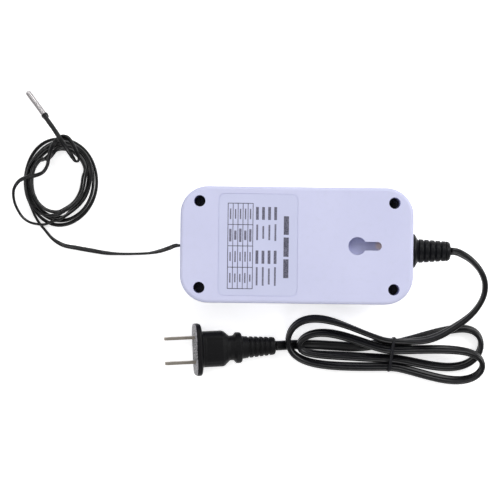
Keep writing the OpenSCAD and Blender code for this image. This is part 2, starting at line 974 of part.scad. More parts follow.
module socket_insert() {
    color([0.10, 0.10, 0.11])
    difference() {
        union() {
            translate([socket_x, 0, socket_face])
                linear_extrude(wall - socket_face + over)
                    round_rect(socket_w, socket_l, socket_r);
            translate([socket_x, 0, wall])
                linear_extrude(socket_flange_t)
                    round_rect(socket_flange_w, socket_flange_l, socket_flange_r);
            translate([socket_x - socket_body_w / 2, -socket_body_l / 2, wall])
                cube([socket_body_w, socket_body_l, socket_top - wall]);
        }
        linear_extrude(socket_top)
            socket_apertures_2d();
        for (y = side_share) {
            translate([socket_x - pocket_x, y > 0 ? pocket_y0 : -pocket_y1, pocket_z])
                cube([2 * pocket_x, pocket_y1 - pocket_y0, socket_top]);
            pillar(socket_x, y * socket_screw_y, 0, socket_boss_d + 2 * fit, socket_top);
        }
        for (x = side_share)
            translate([socket_x + x * retainer_screw_x, 0, socket_top - board_screw_l])
                cylinder(d = retainer_screw_d, h = board_screw_l + over);
    }
}

// Spring leaf folded into a U round the blade, with a crimped tab for the wire
module contact(y) {
    span = leaf_gap + 2 * leaf_t;
    foot_z = pocket_z + contact_foot;
    tab_l = pin_hole_y + tab_end - blade_spacing / 2;
    color([0.80, 0.66, 0.30])
    translate([socket_x, y * blade_spacing / 2, foot_z]) {
        for (s = side_share)
            translate([-leaf_w / 2, s * (leaf_gap + leaf_t) / 2 - leaf_t / 2, 0])
                cube([leaf_w, leaf_t, contact_h]);
        translate([-leaf_w / 2, -span / 2, contact_h - leaf_t])
            cube([leaf_w, span, leaf_t]);
        translate([wire_hole_x - leaf_w / 4, y > 0 ? 0 : -tab_l, contact_h - leaf_t])
            cube([leaf_w / 2, tab_l, leaf_t]);
    }
}

module socket_contact_live() {
    contact(1);
}

module socket_contact_neutral() {
    contact(-1);
}

module contact_retainer() {
    hole_t = retainer_t + 2 * over;
    color([0.12, 0.12, 0.13])
    difference() {
        translate([socket_x - socket_body_w / 2, -socket_body_l / 2, socket_top])
            cube([socket_body_w, socket_body_l, retainer_t]);
        for (s = side_share)
            translate([socket_x, 0, socket_top - over]) {
                pillar(s * retainer_screw_x, 0, 0, retainer_screw_d + 2 * fit, hole_t);
                pillar(wire_hole_x, s * pin_hole_y, 0, wire_d + 4 * fit, hole_t);
            }
    }
}

module retainer_screws() {
    top = socket_top + retainer_t;
    color([0.75, 0.75, 0.76])
    for (s = side_share)
        translate([socket_x + s * retainer_screw_x, 0, top])
            difference() {
                union() {
                    cylinder(d = retainer_head_d, h = retainer_head_t);
                    pillar(0, 0, -board_screw_l, retainer_screw_d, board_screw_l + over);
                }
                cross_recess(retainer_head_t);
            }
}

module socket_screws() {
    seat_z = wall + socket_flange_t;
    color([0.75, 0.75, 0.76])
    for (s = side_share)
        difference() {
            union() {
                pillar(socket_x, s * socket_screw_y, seat_z, socket_screw_head_d, socket_screw_head_t);
                pillar(socket_x, s * socket_screw_y, wall / 2, socket_screw_d, seat_z - wall / 2 + over);
            }
            translate([socket_x, s * socket_screw_y, 0])
                cross_recess(seat_z + socket_screw_head_t);
        }
}

module inner_wire(p) {
    cord(p, wire_d, wire_d, 0, 8, [0, 1, 0]);
}

module mains_wire_live() {
    start_x = half_l - wall - relief_inner_t;
    color([0.45, 0.25, 0.12])
    inner_wire([
        [start_x, relief_y + wire_d, joint_z],
        [start_x - wire_d, relief_y + wire_d, joint_z],
        [start_x - 2 * wire_d, relief_y + 2 * wire_d, mix(joint_z, board_top, 0.2)],
        [start_x - 2.4 * wire_d, relief_y + 2.4 * wire_d, mix(joint_z, board_top, 0.4)],
        [start_x - 2.5 * wire_d, relief_y + 2.5 * wire_d, mix(joint_z, board_top, 0.8)],
        [start_x - 2.5 * wire_d, relief_y + 2.5 * wire_d, board_top]
    ]);
}

module mains_wire_neutral() {
    start_x = half_l - wall - relief_inner_t;
    color([0.15, 0.30, 0.60])
    inner_wire([
        [start_x, relief_y - wire_d, joint_z],
        [start_x - wire_d, relief_y - wire_d, joint_z],
        [start_x - 2 * wire_d, relief_y - 2 * wire_d, mix(joint_z, board_top, 0.2)],
        [start_x - 2.4 * wire_d, relief_y - 2.4 * wire_d, mix(joint_z, board_top, 0.4)],
        [start_x - 2.5 * wire_d, relief_y - 2.5 * wire_d, mix(joint_z, board_top, 0.8)],
        [start_x - 2.5 * wire_d, relief_y - 2.5 * wire_d, board_top]
    ]);
}

module output_wire(side, end_y) {
    crest = socket_top + retainer_t + 2 * wire_d;
    x = socket_x + wire_hole_x;
    y = side * pin_hole_y;
    inner_wire([
        [x, y, pocket_z + contact_foot + contact_h],
        [x, y, socket_top],
        [x + wire_d / 4, y, crest - wire_d],
        [x + 1.5 * wire_d, y, crest],
        [board_x0 - 3 * wire_d, mix(y, end_y, 0.5), crest],
        [board_x0 - wire_d, end_y, crest - wire_d],
        [board_x0 + wire_d, end_y, crest - 2.5 * wire_d],
        [board_x0 + 1.2 * wire_d, end_y, board_top + 2 * wire_d],
        [board_x0 + 1.2 * wire_d, end_y, board_top]
    ]);
}

module output_wire_live() {
    color([0.45, 0.25, 0.12])
    output_wire(1, 4 * wire_d);
}

module output_wire_neutral() {
    color([0.15, 0.30, 0.60])
    output_wire(-1, -wire_d);
}

module sensor_inner_lead() {
    over_z = socket_top + retainer_t + sensor_w;
    left_x = socket_x - socket_body_w / 2;
    top_x = header_at[0] + header_size[0] / 2;
    top_y = header_at[1] + header_size[1] / 2;
    top_z = board_top + header_size[2] + plugtop_h / 2;
    color([0.10, 0.10, 0.11])
    cord([
        [-half_l, sensor_y, joint_z],
        [-half_l + wall + sensor_w, sensor_y, joint_z],
        [-half_l + 4 * sensor_w, mix(sensor_y, top_y, 0.4), joint_z + sensor_t],
        [left_x - sensor_w, mix(sensor_y, top_y, 0.9), over_z - sensor_t],
        [socket_x - socket_body_w / 4, top_y - sensor_t / 2, over_z],
        [socket_x + socket_body_w / 4, top_y - sensor_t / 2, over_z],
        [socket_x + socket_body_w / 2, top_y, over_z],
        [top_x - sensor_w, top_y, over_z + sensor_t],
        [top_x - sensor_t / 4, top_y, over_z],
        [top_x, top_y, top_z]
    ], sensor_w, sensor_t, 0, 8, [0, 1, 0]);
}

module sensor_cable_tie() {
    inner = [sensor_t + 2 * fit, sensor_w + 2 * fit];
    color([0.88, 0.88, 0.86])
    translate([-half_l + wall, sensor_y, joint_z])
        rotate([90, 0, 90])
            linear_extrude(tie_band)
                difference() {
                    square([inner[0] + 2 * tie_band_t, inner[1] + 2 * tie_band_t], center = true);
                    square(inner, center = true);
                }
}

// Turned side of the strain relief: radius against the distance from the wall
module strain_relief() {
    ribbed = relief_length - relief_flange_t - relief_nose;
    pitch = ribbed / relief_ribs;
    tip_r = relief_tip_d / 2;
    base_r = relief_d / 2;
    inside = [
        [0, -wall - relief_inner_t], [base_r, -wall - relief_inner_t], [base_r, -wall],
        [relief_neck_d / 2, -wall], [relief_neck_d / 2, 0],
        [relief_flange_d / 2, 0], [relief_flange_d / 2, relief_lip],
        [mix(base_r, relief_flange_d / 2, 0.35), relief_flange_t / 2], [base_r, relief_flange_t]
    ];
    ribs = [for (k = [0:relief_ribs - 1])
        [for (p = relief_rib_shares)
            [mix(base_r, tip_r, (k + p[0]) / relief_ribs) - p[1] * relief_groove,
             relief_flange_t + (k + p[0]) * pitch]]];
    nose = [for (a = [0:22.5:90])
        [tip_r - relief_nose * (1 - cos(a)), relief_length - relief_nose * (1 - sin(a))]];
    color([0.08, 0.08, 0.09])
    translate([half_l, relief_y, joint_z])
        rotate([0, 90, 0])
            rotate_extrude()
                polygon(concat(inside, flat_list(ribs), nose, [[0, relief_length]]));
}

module mains_lead() {
    color([0.10, 0.10, 0.11])
    cord(mains_route, cord_w, cord_t, 90, 8);
}

// One turn of the hank, from run to run, drawn in at the waist
function hank_point(turn, a) =
    let (s = sin(a), c = max(0, cos(a)), w = pow(c, hank_draw_share), m = (1 + s) / 2)
    [waist_x + turn[0] * turn[1] * c,
     mix(run_y[turn[2]], run_y[turn[3]], m) + w * (turn[4] - s * turn[5] + s * s * turn[6]),
     mix(run_z[turn[2]], run_z[turn[3]], m) + w * turn[7]];

// How far the flat cord stands up there: 90 degrees is on edge
function hank_roll(t, a) =
    let (s = sin(a), c = max(0, cos(a)),
         eased = t == 0 ? ease((s + 1) / lean_in_share) : 1,
         lean = 90 - eased * hank_turns[t][0] * s * (hank_lean + hank_lean_more * c))
    t == len(hank_turns) - 1 ? lean * (1 - ease((s - flat_from_share) / (1 - flat_from_share))) : lean;

module mains_hank() {
    steps = hank_rings;
    first = [waist_x + cord_w, run_y[1], run_z[1]];
    last = [waist_x - cord_w, run_y[0], run_z[0] - flat_drop];
    path = concat([first],
        [for (t = [0:len(hank_turns) - 1]) for (i = [(t == 0 ? 0 : 1):steps])
            let (a = -90 + 180 * i / steps, p = hank_point(hank_turns[t], a),
                 f = t == 3 ? ease((sin(a) - flat_from_share) / (1 - flat_from_share)) : 0)
            p - [0, 0, f * flat_drop]],
        [last]);
    rolls = concat([90],
        [for (t = [0:len(hank_turns) - 1]) for (i = [(t == 0 ? 0 : 1):steps])
            hank_roll(t, -90 + 180 * i / steps)],
        [0]);
    rows = rings(path, cord_w, cord_t, rolls, hank_sides);
    echo(hank_least_gap = own_gap(rows, 4, 4 * cord_w));
    color([0.10, 0.10, 0.11])
    skin(rows);
}

module cord_tie() {
    color([0.06, 0.06, 0.07])
    translate([waist_x, tie_y, tie_h / 2 + tie_lift])
        rotate(tie_tilt)
            rotate([90, 0, 90])
                linear_extrude(tie_w, center = true)
                    difference() {
                        round_rect(tie_l, tie_h, tie_r);
                        round_rect(tie_l - 2 * tie_t, tie_h - 2 * tie_t, tie_r - tie_t);
                    }
}

module mains_tail() {
    color([0.10, 0.10, 0.11])
    cord(tail_route, cord_w, cord_t, 0, 8);
}

module at_plug() {
    translate(plug_at)
        rotate([0, plug_dip, plug_yaw])
            rotate([0, 0, 180])
                children();
}

// Rounded section of the moulded plug, seen from its tail
function plug_ring(s, w, h, n) =
    [for (k = [0:loft_sides - 1])
        let (a = -360 * k / loft_sides, c = cos(a), d = sin(a))
        [s, w / 2 * sign(c) * pow(abs(c), 2 / n), h / 2 * sign(d) * pow(abs(d), 2 / n)]];

module plug_body() {
    tail_w = 9.3;
    tail_h = 8.6;
    tail_grow = 2.6;
    slit = 1.1;
    slit_depth = 0.9;
    groove = 1.6;
    collar = [16, 12.6];
    neck = [12.8, 11];
    body = [18.6, 14.6];
    guard_at = plug_length - guard_t;
    tail_l = 0.422 * plug_length;
    first_slit_share = 0.16;
    slit_step_share = 0.15;
    slit_shares = [0, 0.15, 0.85, 1];
    slits = [for (k = [0:tail_ribs - 1]) for (i = [0:3])
        let (at = tail_l * (first_slit_share + k * slit_step_share) + slit * slit_shares[i],
             grow = tail_grow * at / tail_l - (i % 3 == 0 ? 0 : slit_depth))
        [at, tail_w + grow, tail_h + grow]];
    rows = concat(
        [plug_ring(0, tail_w - slit_depth, tail_h - slit_depth, 2.4),
         plug_ring(slit_depth / 2, tail_w, tail_h, 2.4)],
        [for (r = slits) plug_ring(r[0], r[1], r[2], 2.4)],
        [plug_ring(tail_l - over, tail_w + tail_grow, tail_h + tail_grow, 2.4),
         plug_ring(tail_l, collar[0] - groove, collar[1] - groove, 2.6),
         plug_ring(tail_l + groove / 2, collar[0], collar[1], 2.6),
         plug_ring(tail_l + 2 * groove, collar[0], collar[1], 2.6),
         plug_ring(tail_l + 2.5 * groove, neck[0] + groove / 2, neck[1] + groove / 2, 2.6),
         plug_ring(tail_l + 3.2 * groove, neck[0], neck[1], 2.6),
         plug_ring(tail_l + 4.2 * groove, neck[0] + groove, neck[1] + groove, 2.8),
         plug_ring(tail_l + 5.1 * groove, body[0] - groove, body[1] - groove, 3),
         plug_ring(tail_l + 6.1 * groove, body[0] - over, body[1] - over, 3.1),
         plug_ring(guard_at - groove / 2, body[0], body[1], 3.4),
         plug_ring(guard_at, body[0] + groove / 2, body[1] + groove / 2, 3.4),
         plug_ring(guard_at + over, guard_w - guard_edge, guard_h - guard_edge, 3.6),
         plug_ring(guard_at + guard_edge, guard_w, guard_h, 3.8),
         plug_ring(plug_length - guard_edge, guard_w, guard_h, 3.8),
         plug_ring(plug_length, guard_w - guard_edge, guard_h - guard_edge, 3.8)]);
    color([0.09, 0.09, 0.10])
    at_plug()
        difference() {
            skin(rows);
            translate([plug_length - core_in, 0, 0])
                rotate([90, 0, 90])
                    linear_extrude(core_in + over)
                        round_rect(core_w, core_h, core_r);
        }
}

module blade_slots(extra) {
    for (y = side_share)
        translate([plug_length - core_in - extra, y * blade_spacing / 2 - blade_t / 2, -blade_w / 2])
            cube([core_in + core_out + 2 * extra, blade_t, blade_w]);
}

module plug_core() {
    color([0.50, 0.50, 0.52])
    at_plug()
        difference() {
            union() {
                translate([plug_length - core_in, 0, 0])
                    rotate([90, 0, 90])
                        linear_extrude(core_in + core_out)
                            round_rect(core_w, core_h, core_r);
                translate([plug_length, 0, 0])
                    rotate([90, 0, 90])
                        linear_extrude(core_out)
                            round_rect(guard_w - 2 * guard_edge, guard_h - 2 * guard_edge, face_r);
            }
            blade_slots(over);
        }
}

module plug_blades() {
    root = plug_length - core_in;
    tip = plug_length + core_out + blade_length;
    color([0.72, 0.70, 0.66])
    at_plug()
        for (y = side_share)
            translate([0, y * blade_spacing / 2 + blade_t / 2, 0])
                rotate([90, 0, 0])
                    linear_extrude(blade_t)
                        difference() {
                            polygon([
                                [root, -blade_w / 2], [tip - blade_nose, -blade_w / 2],
                                [tip, -blade_w / 2 + blade_nose], [tip, blade_w / 2 - blade_nose],
                                [tip - blade_nose, blade_w / 2], [root, blade_w / 2]
                            ]);
                            translate([tip - blade_hole_at, 0])
                                circle(d = blade_hole_d);
                        }
}

module sensor_lead() {
    color([0.10, 0.10, 0.11])
    cord(sensor_route, sensor_w, sensor_t, 90, 8);
}

// Point of the coil after t turns, clockwise seen from above
function coil_point(t) =
    let (u = abs(t - coil_in_turns), a = coil_start - 360 * t,
         inset = coil_step * (coil_in_turns - u + coil_reverse_share * (1 - ease(2 * u - 0.5))))
    [coil_at[0] + (coil_half[0] - inset) * cos(a),
     coil_at[1] + (coil_half[1] - inset) * sin(a),
     coil_z + coil_layer * ease(2 * (t - coil_in_turns) + 0.5)];

module sensor_coil() {
    count = floor(coil_turns * coil_rings);
    body = [for (i = [0:count]) coil_point(coil_turns * i / count)];
    lead_in = body[0] + unit(body[0] - body[1]) * sensor_w;
    lead_out = body[count] + unit(body[count] - body[count - 1]) * sensor_w;
    path = concat([lead_in], body, [lead_out]);
    rows = rings(path, sensor_w, sensor_t, [for (p = path) 90], 6);
    echo(coil_least_gap = own_gap(rows, 12, 3 * sensor_w), coil_in = lead_in, coil_out = lead_out);
    color([0.10, 0.10, 0.11])
    skin(rows);
}

module sensor_tail() {
    color([0.10, 0.10, 0.11])
    cord(probe_route, sensor_w, sensor_t, 90, 8);
}

module at_probe() {
    translate(probe_root)
        rotate([0, probe_dip, probe_yaw])
            children();
}

module probe_sleeve() {
    color([0.07, 0.07, 0.08])
    at_probe()
        translate([0, 0, -sleeve_back])
            rotate_extrude()
                polygon([
                    [0, 0], [sleeve_d / 2 - seat, 0],
                    [sleeve_d / 2, sleeve_back / 2], [sleeve_d / 2, sleeve_back + sleeve_over],
                    [probe_d / 2, sleeve_back + sleeve_over], [probe_d / 2, sleeve_back], [0, sleeve_back]
                ]);
}

module probe_tube() {
    inner_r = probe_d / 2 - probe_wall;
    tip = probe_length;
    round_r = 2 * probe_wall;
    color([0.76, 0.75, 0.75])
    at_probe()
        rotate_extrude()
            polygon(concat(
                [[inner_r, 0], [probe_d / 2, 0]],
                [for (a = [0:15:90])
                    [probe_d / 2 - round_r * (1 - cos(a)), tip - round_r * (1 - sin(a))]],
                [[0, tip], [0, tip - probe_wall], [inner_r, tip - 2 * probe_wall]]));
}

module thermistor_bead() {
    color([0.15, 0.15, 0.16])
    at_probe()
        translate([0, 0, probe_length - 2 * probe_wall - bead_d])
            cylinder(d = bead_d, h = bead_d);
}

module probe_potting() {
    inner_d = probe_d - 2 * probe_wall;
    color([0.20, 0.20, 0.22])
    at_probe()
        cylinder(d = inner_d, h = probe_length - 2 * probe_wall - bead_d);
}

rear_cover();
front_cover();
case_screws();
rear_label();
front_overlay();
display_window();
button_set();
button_up();
button_down();
plunger_set();
plunger_up();
plunger_down();
tact_switches();
control_board();
board_screws();
display_module();
display_segments();
indicator_leds();
microcontroller();
relay();
relay_pins();
supply_capacitor();
electrolytic_capacitors();
bridge_rectifier();
voltage_regulator();
varistor();
fuse_tube();
fuse_caps();
sensor_header();
sensor_connector();
socket_insert();
socket_contact_live();
socket_contact_neutral();
contact_retainer();
retainer_screws();
socket_screws();
mains_wire_live();
mains_wire_neutral();
output_wire_live();
output_wire_neutral();
sensor_inner_lead();
sensor_cable_tie();
strain_relief();
mains_lead();
mains_hank();
cord_tie();
mains_tail();
plug_body();
plug_core();
plug_blades();
sensor_lead();
sensor_coil();
sensor_tail();
probe_sleeve();
probe_tube();
thermistor_bead();
probe_potting();
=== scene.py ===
# %% [markdown]
# # A plug in temperature controller, lying on its face
#
# The real object is a small plastic box that switches a heater or a cooler. The photograph shows
# its back, with a hanging keyhole and a rating label, a mains lead tied in a hank, and a sensor
# cable in a loose coil. The CAD frame already has the housing, its screws and all that is inside,
# so this script only gives those their finish. It builds what CAD leaves plain: both cords, the
# strain relief, the plug, the tie, the probe's sleeve, and the print on the label and on the face.
#
# Lengths are in millimetres, and become metres where a mesh is made. Each piece is built where it
# lies, so its object stays at the origin.

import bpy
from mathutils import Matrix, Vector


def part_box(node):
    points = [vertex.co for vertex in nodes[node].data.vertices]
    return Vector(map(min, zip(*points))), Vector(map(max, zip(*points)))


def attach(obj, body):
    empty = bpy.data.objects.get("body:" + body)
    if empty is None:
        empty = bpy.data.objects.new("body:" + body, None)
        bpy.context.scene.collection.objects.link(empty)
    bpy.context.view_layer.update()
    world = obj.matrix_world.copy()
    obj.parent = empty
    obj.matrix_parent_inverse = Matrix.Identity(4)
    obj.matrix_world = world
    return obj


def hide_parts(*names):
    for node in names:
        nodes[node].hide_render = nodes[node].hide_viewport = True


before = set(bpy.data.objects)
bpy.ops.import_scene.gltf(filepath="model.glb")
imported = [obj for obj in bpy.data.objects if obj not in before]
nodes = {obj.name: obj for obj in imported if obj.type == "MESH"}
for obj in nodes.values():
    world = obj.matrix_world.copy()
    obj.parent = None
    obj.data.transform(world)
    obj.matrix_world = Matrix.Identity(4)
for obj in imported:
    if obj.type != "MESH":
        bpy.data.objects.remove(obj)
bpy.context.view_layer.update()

import math

import bmesh
import bpy
import numpy as np
from mathutils import Matrix, Vector

MM = 0.001

# %% [markdown]
# ## Camera
#
# The photograph looks straight down from about 0.9 m, turned by less than a degree. A camera could
# be placed by eye, but the plug's blades stand 12.7 mm apart, and at that distance their spacing
# gives the focal length in pixels. It becomes the lens for a 36 mm sensor, so that the render has
# the photograph's frame.

# %% Camera
IMAGE_WIDTH = 500  # pixels
FOCAL_PIXELS = 1720.5
SENSOR = 36.0
CAMERA_AT = (-23.62, -2.66, 900)
CAMERA_TURN = 0.7  # degrees


def in_metres(*values):
    """Millimetres as metres."""
    return tuple(float(v) * MM for v in values)


def add_object(name, data):
    """An object in the scene for a mesh, a camera or a lamp."""
    made = bpy.data.objects.new(name, data)
    bpy.context.scene.collection.objects.link(made)
    return made


def make_camera():
    """A camera that looks straight down; it needs no tilt, only the small turn."""
    data = bpy.data.cameras.new("camera")
    data.sensor_width = SENSOR
    data.lens = SENSOR * FOCAL_PIXELS / IMAGE_WIDTH
    camera = add_object("camera", data)
    camera.location = in_metres(*CAMERA_AT)
    camera.rotation_euler = (0, 0, math.radians(CAMERA_TURN))
    bpy.context.scene.camera = camera
    return camera


print("camera lens:", round(make_camera().data.lens, 1), "mm")

# %% [markdown]
# ## Lines that cords follow
#
# A flexible cord bends in one smooth curve. A Blender curve object could draw it, but a plain list
# of points is easier to measure, to twist and to lay over itself. So the listed points of a
# route are joined by a cubic whose slope at each point looks at both neighbours. The routes from
# the housing to the hank and the coil, and from the hank to the plug, repeat the CAD source.

# %% Smooth lines
def ease(t):
    """0 below 0, 1 above 1, and a soft slope between."""
    t = min(1.0, max(0.0, t))
    return t * t * (3 - 2 * t)


def mix(a, b, t):
    """From a to b as t goes from 0 to 1."""
    return a + (b - a) * t


def distances(line):
    """How far along the line each of its points lies."""
    return np.concatenate([[0], np.cumsum(np.linalg.norm(np.diff(line, axis=0), axis=1))])


def run_length(line):
    return float(distances(line)[-1])


def slopes(points, along):
    """The slope at each point, between those of the chords on its two sides."""
    steps = np.diff(along)
    chords = np.diff(points, axis=0) / steps[:, None]
    inner = chords[:-1] * steps[1:, None] + chords[1:] * steps[:-1, None]
    inner = inner / (steps[:-1] + steps[1:])[:, None]
    return np.vstack([chords[:1], inner, chords[-1:]])


def smooth_line(points, step):
    """Points every step along the cubic through the given ones; the ends stay."""
    points = np.array(points, float)
    along = distances(points)
    slope = slopes(points, along)
    wanted = np.linspace(0, along[-1], max(2, round(along[-1] / step) + 1))
    i = np.clip(np.searchsorted(along, wanted, side="right") - 1, 0, len(points) - 2)
    width = (along[i + 1] - along[i])[:, None]
    t = (wanted - along[i])[:, None] / width
    start = (1 + 2 * t) * (1 - t) ** 2 * points[i] + t * (1 - t) ** 2 * width * slope[i]
    end = t * t * (3 - 2 * t) * points[i + 1] + t * t * (t - 1) * width * slope[i + 1]
    return start + end


print("a straight line of 10 stays", run_length(smooth_line([[0, 0, 0], [10, 0, 0]], 1)), "long")

# %% [markdown]
# ## Flat two core cords
#
# Both cords are two round cores side by side in one sheath, so a cut across shows a figure of
# eight. A curve with a bevel could sweep it too. A mesh tube is swept ring by ring here, because
# its roll, from lying flat to standing on edge, comes from how the cord lies, and because its own
# UV map lets the finish run lengthwise.

# %% A cord's section
GROOVE = 0.18  # radians by which each core's arc stops short of the groove


def two_core_section(wide, thick, steps=9):
    """Points round a figure of eight, counterclockwise."""
    radius = thick / 2
    offset = wide / 2 - radius
    reach = math.acos(-offset / radius) - GROOVE
    lobe = [mix(-reach, reach, k / (steps - 1)) for k in range(steps)]
    right = [(offset + radius * math.cos(a), radius * math.sin(a)) for a in lobe]
    return right + [(-x, -y) for x, y in right]


print("section points:", len(two_core_section(5.1, 2.9)))

# %% A tube of that section
UV_LENGTH = 10  # of cord, for one unit of the map


def headings(line):
    """The direction at each point, halfway between those of the steps on its two sides."""
    step = np.diff(line, axis=0)
    step /= np.linalg.norm(step, axis=1)[:, None]
    middle = step[1:] + step[:-1]
    middle /= np.linalg.norm(middle, axis=1)[:, None]
    return np.vstack([step[:1], middle, step[-1:]])


def skin_faces(count, around):
    """Faces between count rings of that many points each, and a cap at both ends."""
    faces = []
    for i in range(count - 1):
        for k in range(around):
            a, b = i * around + k, i * around + (k + 1) % around
            faces.append((a, b, b + around, a + around))
    faces.append(tuple(range(around - 1, -1, -1)))
    faces.append(tuple((count - 1) * around + k for k in range(around)))
    return faces


def tube(name, line, section, rolls):
    """A closed tube along a line in metres. The section, in mm, is rolled by degrees."""
    section = [in_metres(x, y) for x, y in section]
    verts = []
    for point, heading, roll in zip(line, headings(line), np.radians(rolls)):
        side = np.cross((0, 0, 1), heading)
        side /= np.linalg.norm(side)
        up = np.cross(heading, side)
        for x, y in section:
            verts.append(point + side * (x * math.cos(roll) - y * math.sin(roll))
                         + up * (x * math.sin(roll) + y * math.cos(roll)))
    mesh = bpy.data.meshes.new(name)
    mesh.from_pydata([tuple(v) for v in verts], [], skin_faces(len(line), len(section)))
    far = distances(line) / MM
    layer = mesh.uv_layers.new(name="sheath")
    for loop in mesh.loops:
        ring, k = divmod(loop.vertex_index, len(section))
        layer.data[loop.index].uv = (far[ring] / UV_LENGTH, k / len(section))
    mesh.shade_smooth()
    return add_object(name, mesh)


print("faces between two rings of 18:", len(skin_faces(2, 18)) - 2)

# %% [markdown]
# ## The mains cord
#
# It leaves the strain relief, bends down and forward, and makes four turns of a hank under one
# tie. Its five runs cross under the tie side by side, on edge, and the last run lies flat to the
# plug. Every point could be picked by hand, but all the turns have one form, a half circle
# stretched by its reach and drawn in at the waist. So the free ends are points and the turns are a
# formula, with eight measures each. The measures repeat the CAD source.

# %% The mains cord's points
CORD_WIDE = 5.1
CORD_THICK = 2.9
MAINS_ROUTE = [
    (79.3, -2.1, 15.5), (81.3, -2.1, 15.5), (87.1, -4.4, 15.2), (92.1, -8.2, 14.5),
    (95.6, -12.5, 13.5), (97.8, -18.2, 12.5), (97.6, -23.9, 11.6), (95.5, -29.1, 10.8),
    (91.8, -34.1, 10.1), (87.0, -38.3, 9.6), (81.4, -42.1, 9.2), (75.4, -45.6, 8.8),
    (68.9, -48.0, 8.4), (62.4, -48.9, 7.4), (58.4, -49.2, 6.8), (55.6, -49.2, 6.8),
]
TAIL_ROUTE = [
    (45.4, -50.9, 2.3), (43.4, -50.9, 2.3), (38.4, -51.9, 1.7), (31.7, -52.5, 1.6),
    (21.7, -52.2, 1.6), (13.4, -51.8, 1.6), (2.9, -51.7, 1.6), (-3.0, -51.9, 3.0),
    (-7.4, -52.2, 4.3), (-10.1, -52.3, 4.7),
]
# Degrees, from almost on edge at the relief to on edge along the sweep
MAINS_ROLLS = [62, 64, 72, 84, 90, 90, 90, 90, 84, 76, 68, 62, 60, 66, 84, 90]
print("points before the hank:", len(MAINS_ROUTE), "and after it:", len(TAIL_ROUTE))

# %% The hank's turns
WAIST_X = 50.5
RUN_Y = (-50.9, -49.2, -53.7, -58.2, -62.5)
RUN_Z = (2.9, 6.8, 6.6, 3.5, 3.5)
# Each turn: side, reach, first run, last run, shift, widening, lean, rise
HANK_TURNS = [
    (-1, 53.8, 1, 4, 6.6, 16.2, 7.0, 3.6),
    (1, 47.0, 4, 2, -2.8, -10.9, -4.3, 3.6),
    (-1, 48.1, 2, 3, 4.1, 9.6, 8.0, 2.1),
    (1, 46.8, 3, 0, 4.4, -16.6, -1.7, 0),
]
HANK_STEPS = 40
DRAW = 1.4
# Degrees that the cord leans from standing on edge, and how much more at a turn's far end
LEAN = 48
LEAN_MORE = 18
# The first turn takes up its lean over this much of its course; the last lies down flat from here
LEAN_IN = 0.35
FLAT_FROM = 0.8
FLAT_DROP = 0.6


def hank_point(turn, angle):
    """The cord's place on a turn, from -90 degrees on one run to 90 on the next."""
    side, reach, first, last, shift, widening, lean, rise = turn
    s, c = math.sin(angle), max(0.0, math.cos(angle))
    out, part = c ** DRAW, (1 + s) / 2
    y = mix(RUN_Y[first], RUN_Y[last], part) + out * (shift - s * widening + s * s * lean)
    return WAIST_X + side * reach * c, y, mix(RUN_Z[first], RUN_Z[last], part) + out * rise


def hank_line():
    """Points of the four turns, with the roll at each."""
    points, rolls = [], []
    for number, turn in enumerate(HANK_TURNS):
        begins, ends = number == 0, number == len(HANK_TURNS) - 1
        for k in range(1, HANK_STEPS):
            angle = math.radians(-90 + 180 * k / HANK_STEPS)
            s, c = math.sin(angle), math.cos(angle)
            leaning = ease((s + 1) / LEAN_IN) if begins else 1.0
            flat = ease((s - FLAT_FROM) / (1 - FLAT_FROM)) if ends else 0.0
            x, y, z = hank_point(turn, angle)
            points.append((x, y, z - flat * FLAT_DROP))
            rolls.append((90 - leaning * turn[0] * s * (LEAN + LEAN_MORE * c)) * (1 - flat))
    return points, rolls


turn_points, turn_rolls = hank_line()
print("hank:", len(turn_points), "points on", len(HANK_TURNS), "turns")

# %% The mains cord
MAINS_STEP = 1.6


def with_rolls(points, rolls, step):
    """A smooth line through the points, and the roll at each of its own points."""
    at = distances(np.array(points, float))
    line = smooth_line(points, step)
    return line, np.interp(np.linspace(0, at[-1], len(line)), at, rolls)


mains_points = MAINS_ROUTE + turn_points + TAIL_ROUTE
mains_rolls = MAINS_ROLLS + turn_rolls + [0] * len(TAIL_ROUTE)
mains_line, mains_roll = with_rolls(mains_points, mains_rolls, MAINS_STEP)
mains_line = mains_line * MM
mains_cord = tube("mains_cord", mains_line, two_core_section(CORD_WIDE, CORD_THICK), mains_roll)
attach(mains_cord, "housing")
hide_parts("mains_lead", "mains_hank", "mains_tail")
print("mains cord:", round(run_length(mains_line), 3), "m,", len(mains_line), "rings")

# %% [markdown]
# ## The sensor cable
#
# It drops from the end wall to the surface, twists from edge to flat and back, and winds into a
# loose coil. CAD has a neat spiral in its place, as a solid that others bump into needs, but nobody
# winds a thin cable so neatly. Here each eighth of a turn says how far it lies inside the coil's
# outline, and the strands cross where those distances change order. A loose end goes on from there
# to the probe.

# %% The sensor cable's points
CABLE_WIDE = 2.4
CABLE_THICK = 1.3
SENSOR_ROUTE = [
    (-59.5, -0.8, 15.5), (-61.3, -0.8, 15.5), (-65.2, -2.1, 12.4), (-70.5, -3.8, 7.4),
    (-76.0, -4.9, 4.2), (-84.0, -5.4, 1.8), (-92.0, -5.5, 1.1), (-99.0, -5.1, 0.8),
    (-106.0, -4.0, 0.7), (-114.4, -2.6, 0.7), (-121.4, -1.2, 0.8), (-126.7, 1.9, 1.1),
    (-130.6, 6.2, 1.3), (-134.4, 10.9, 1.3), (-136.6, 14.8, 1.3), (-137.5, 16.9, 1.3),
]
SENSOR_ROLLS = [90, 48, 16, 42, 80, 90, 80, 45, 12, 12, 35, 68, 85, 90, 90, 90]
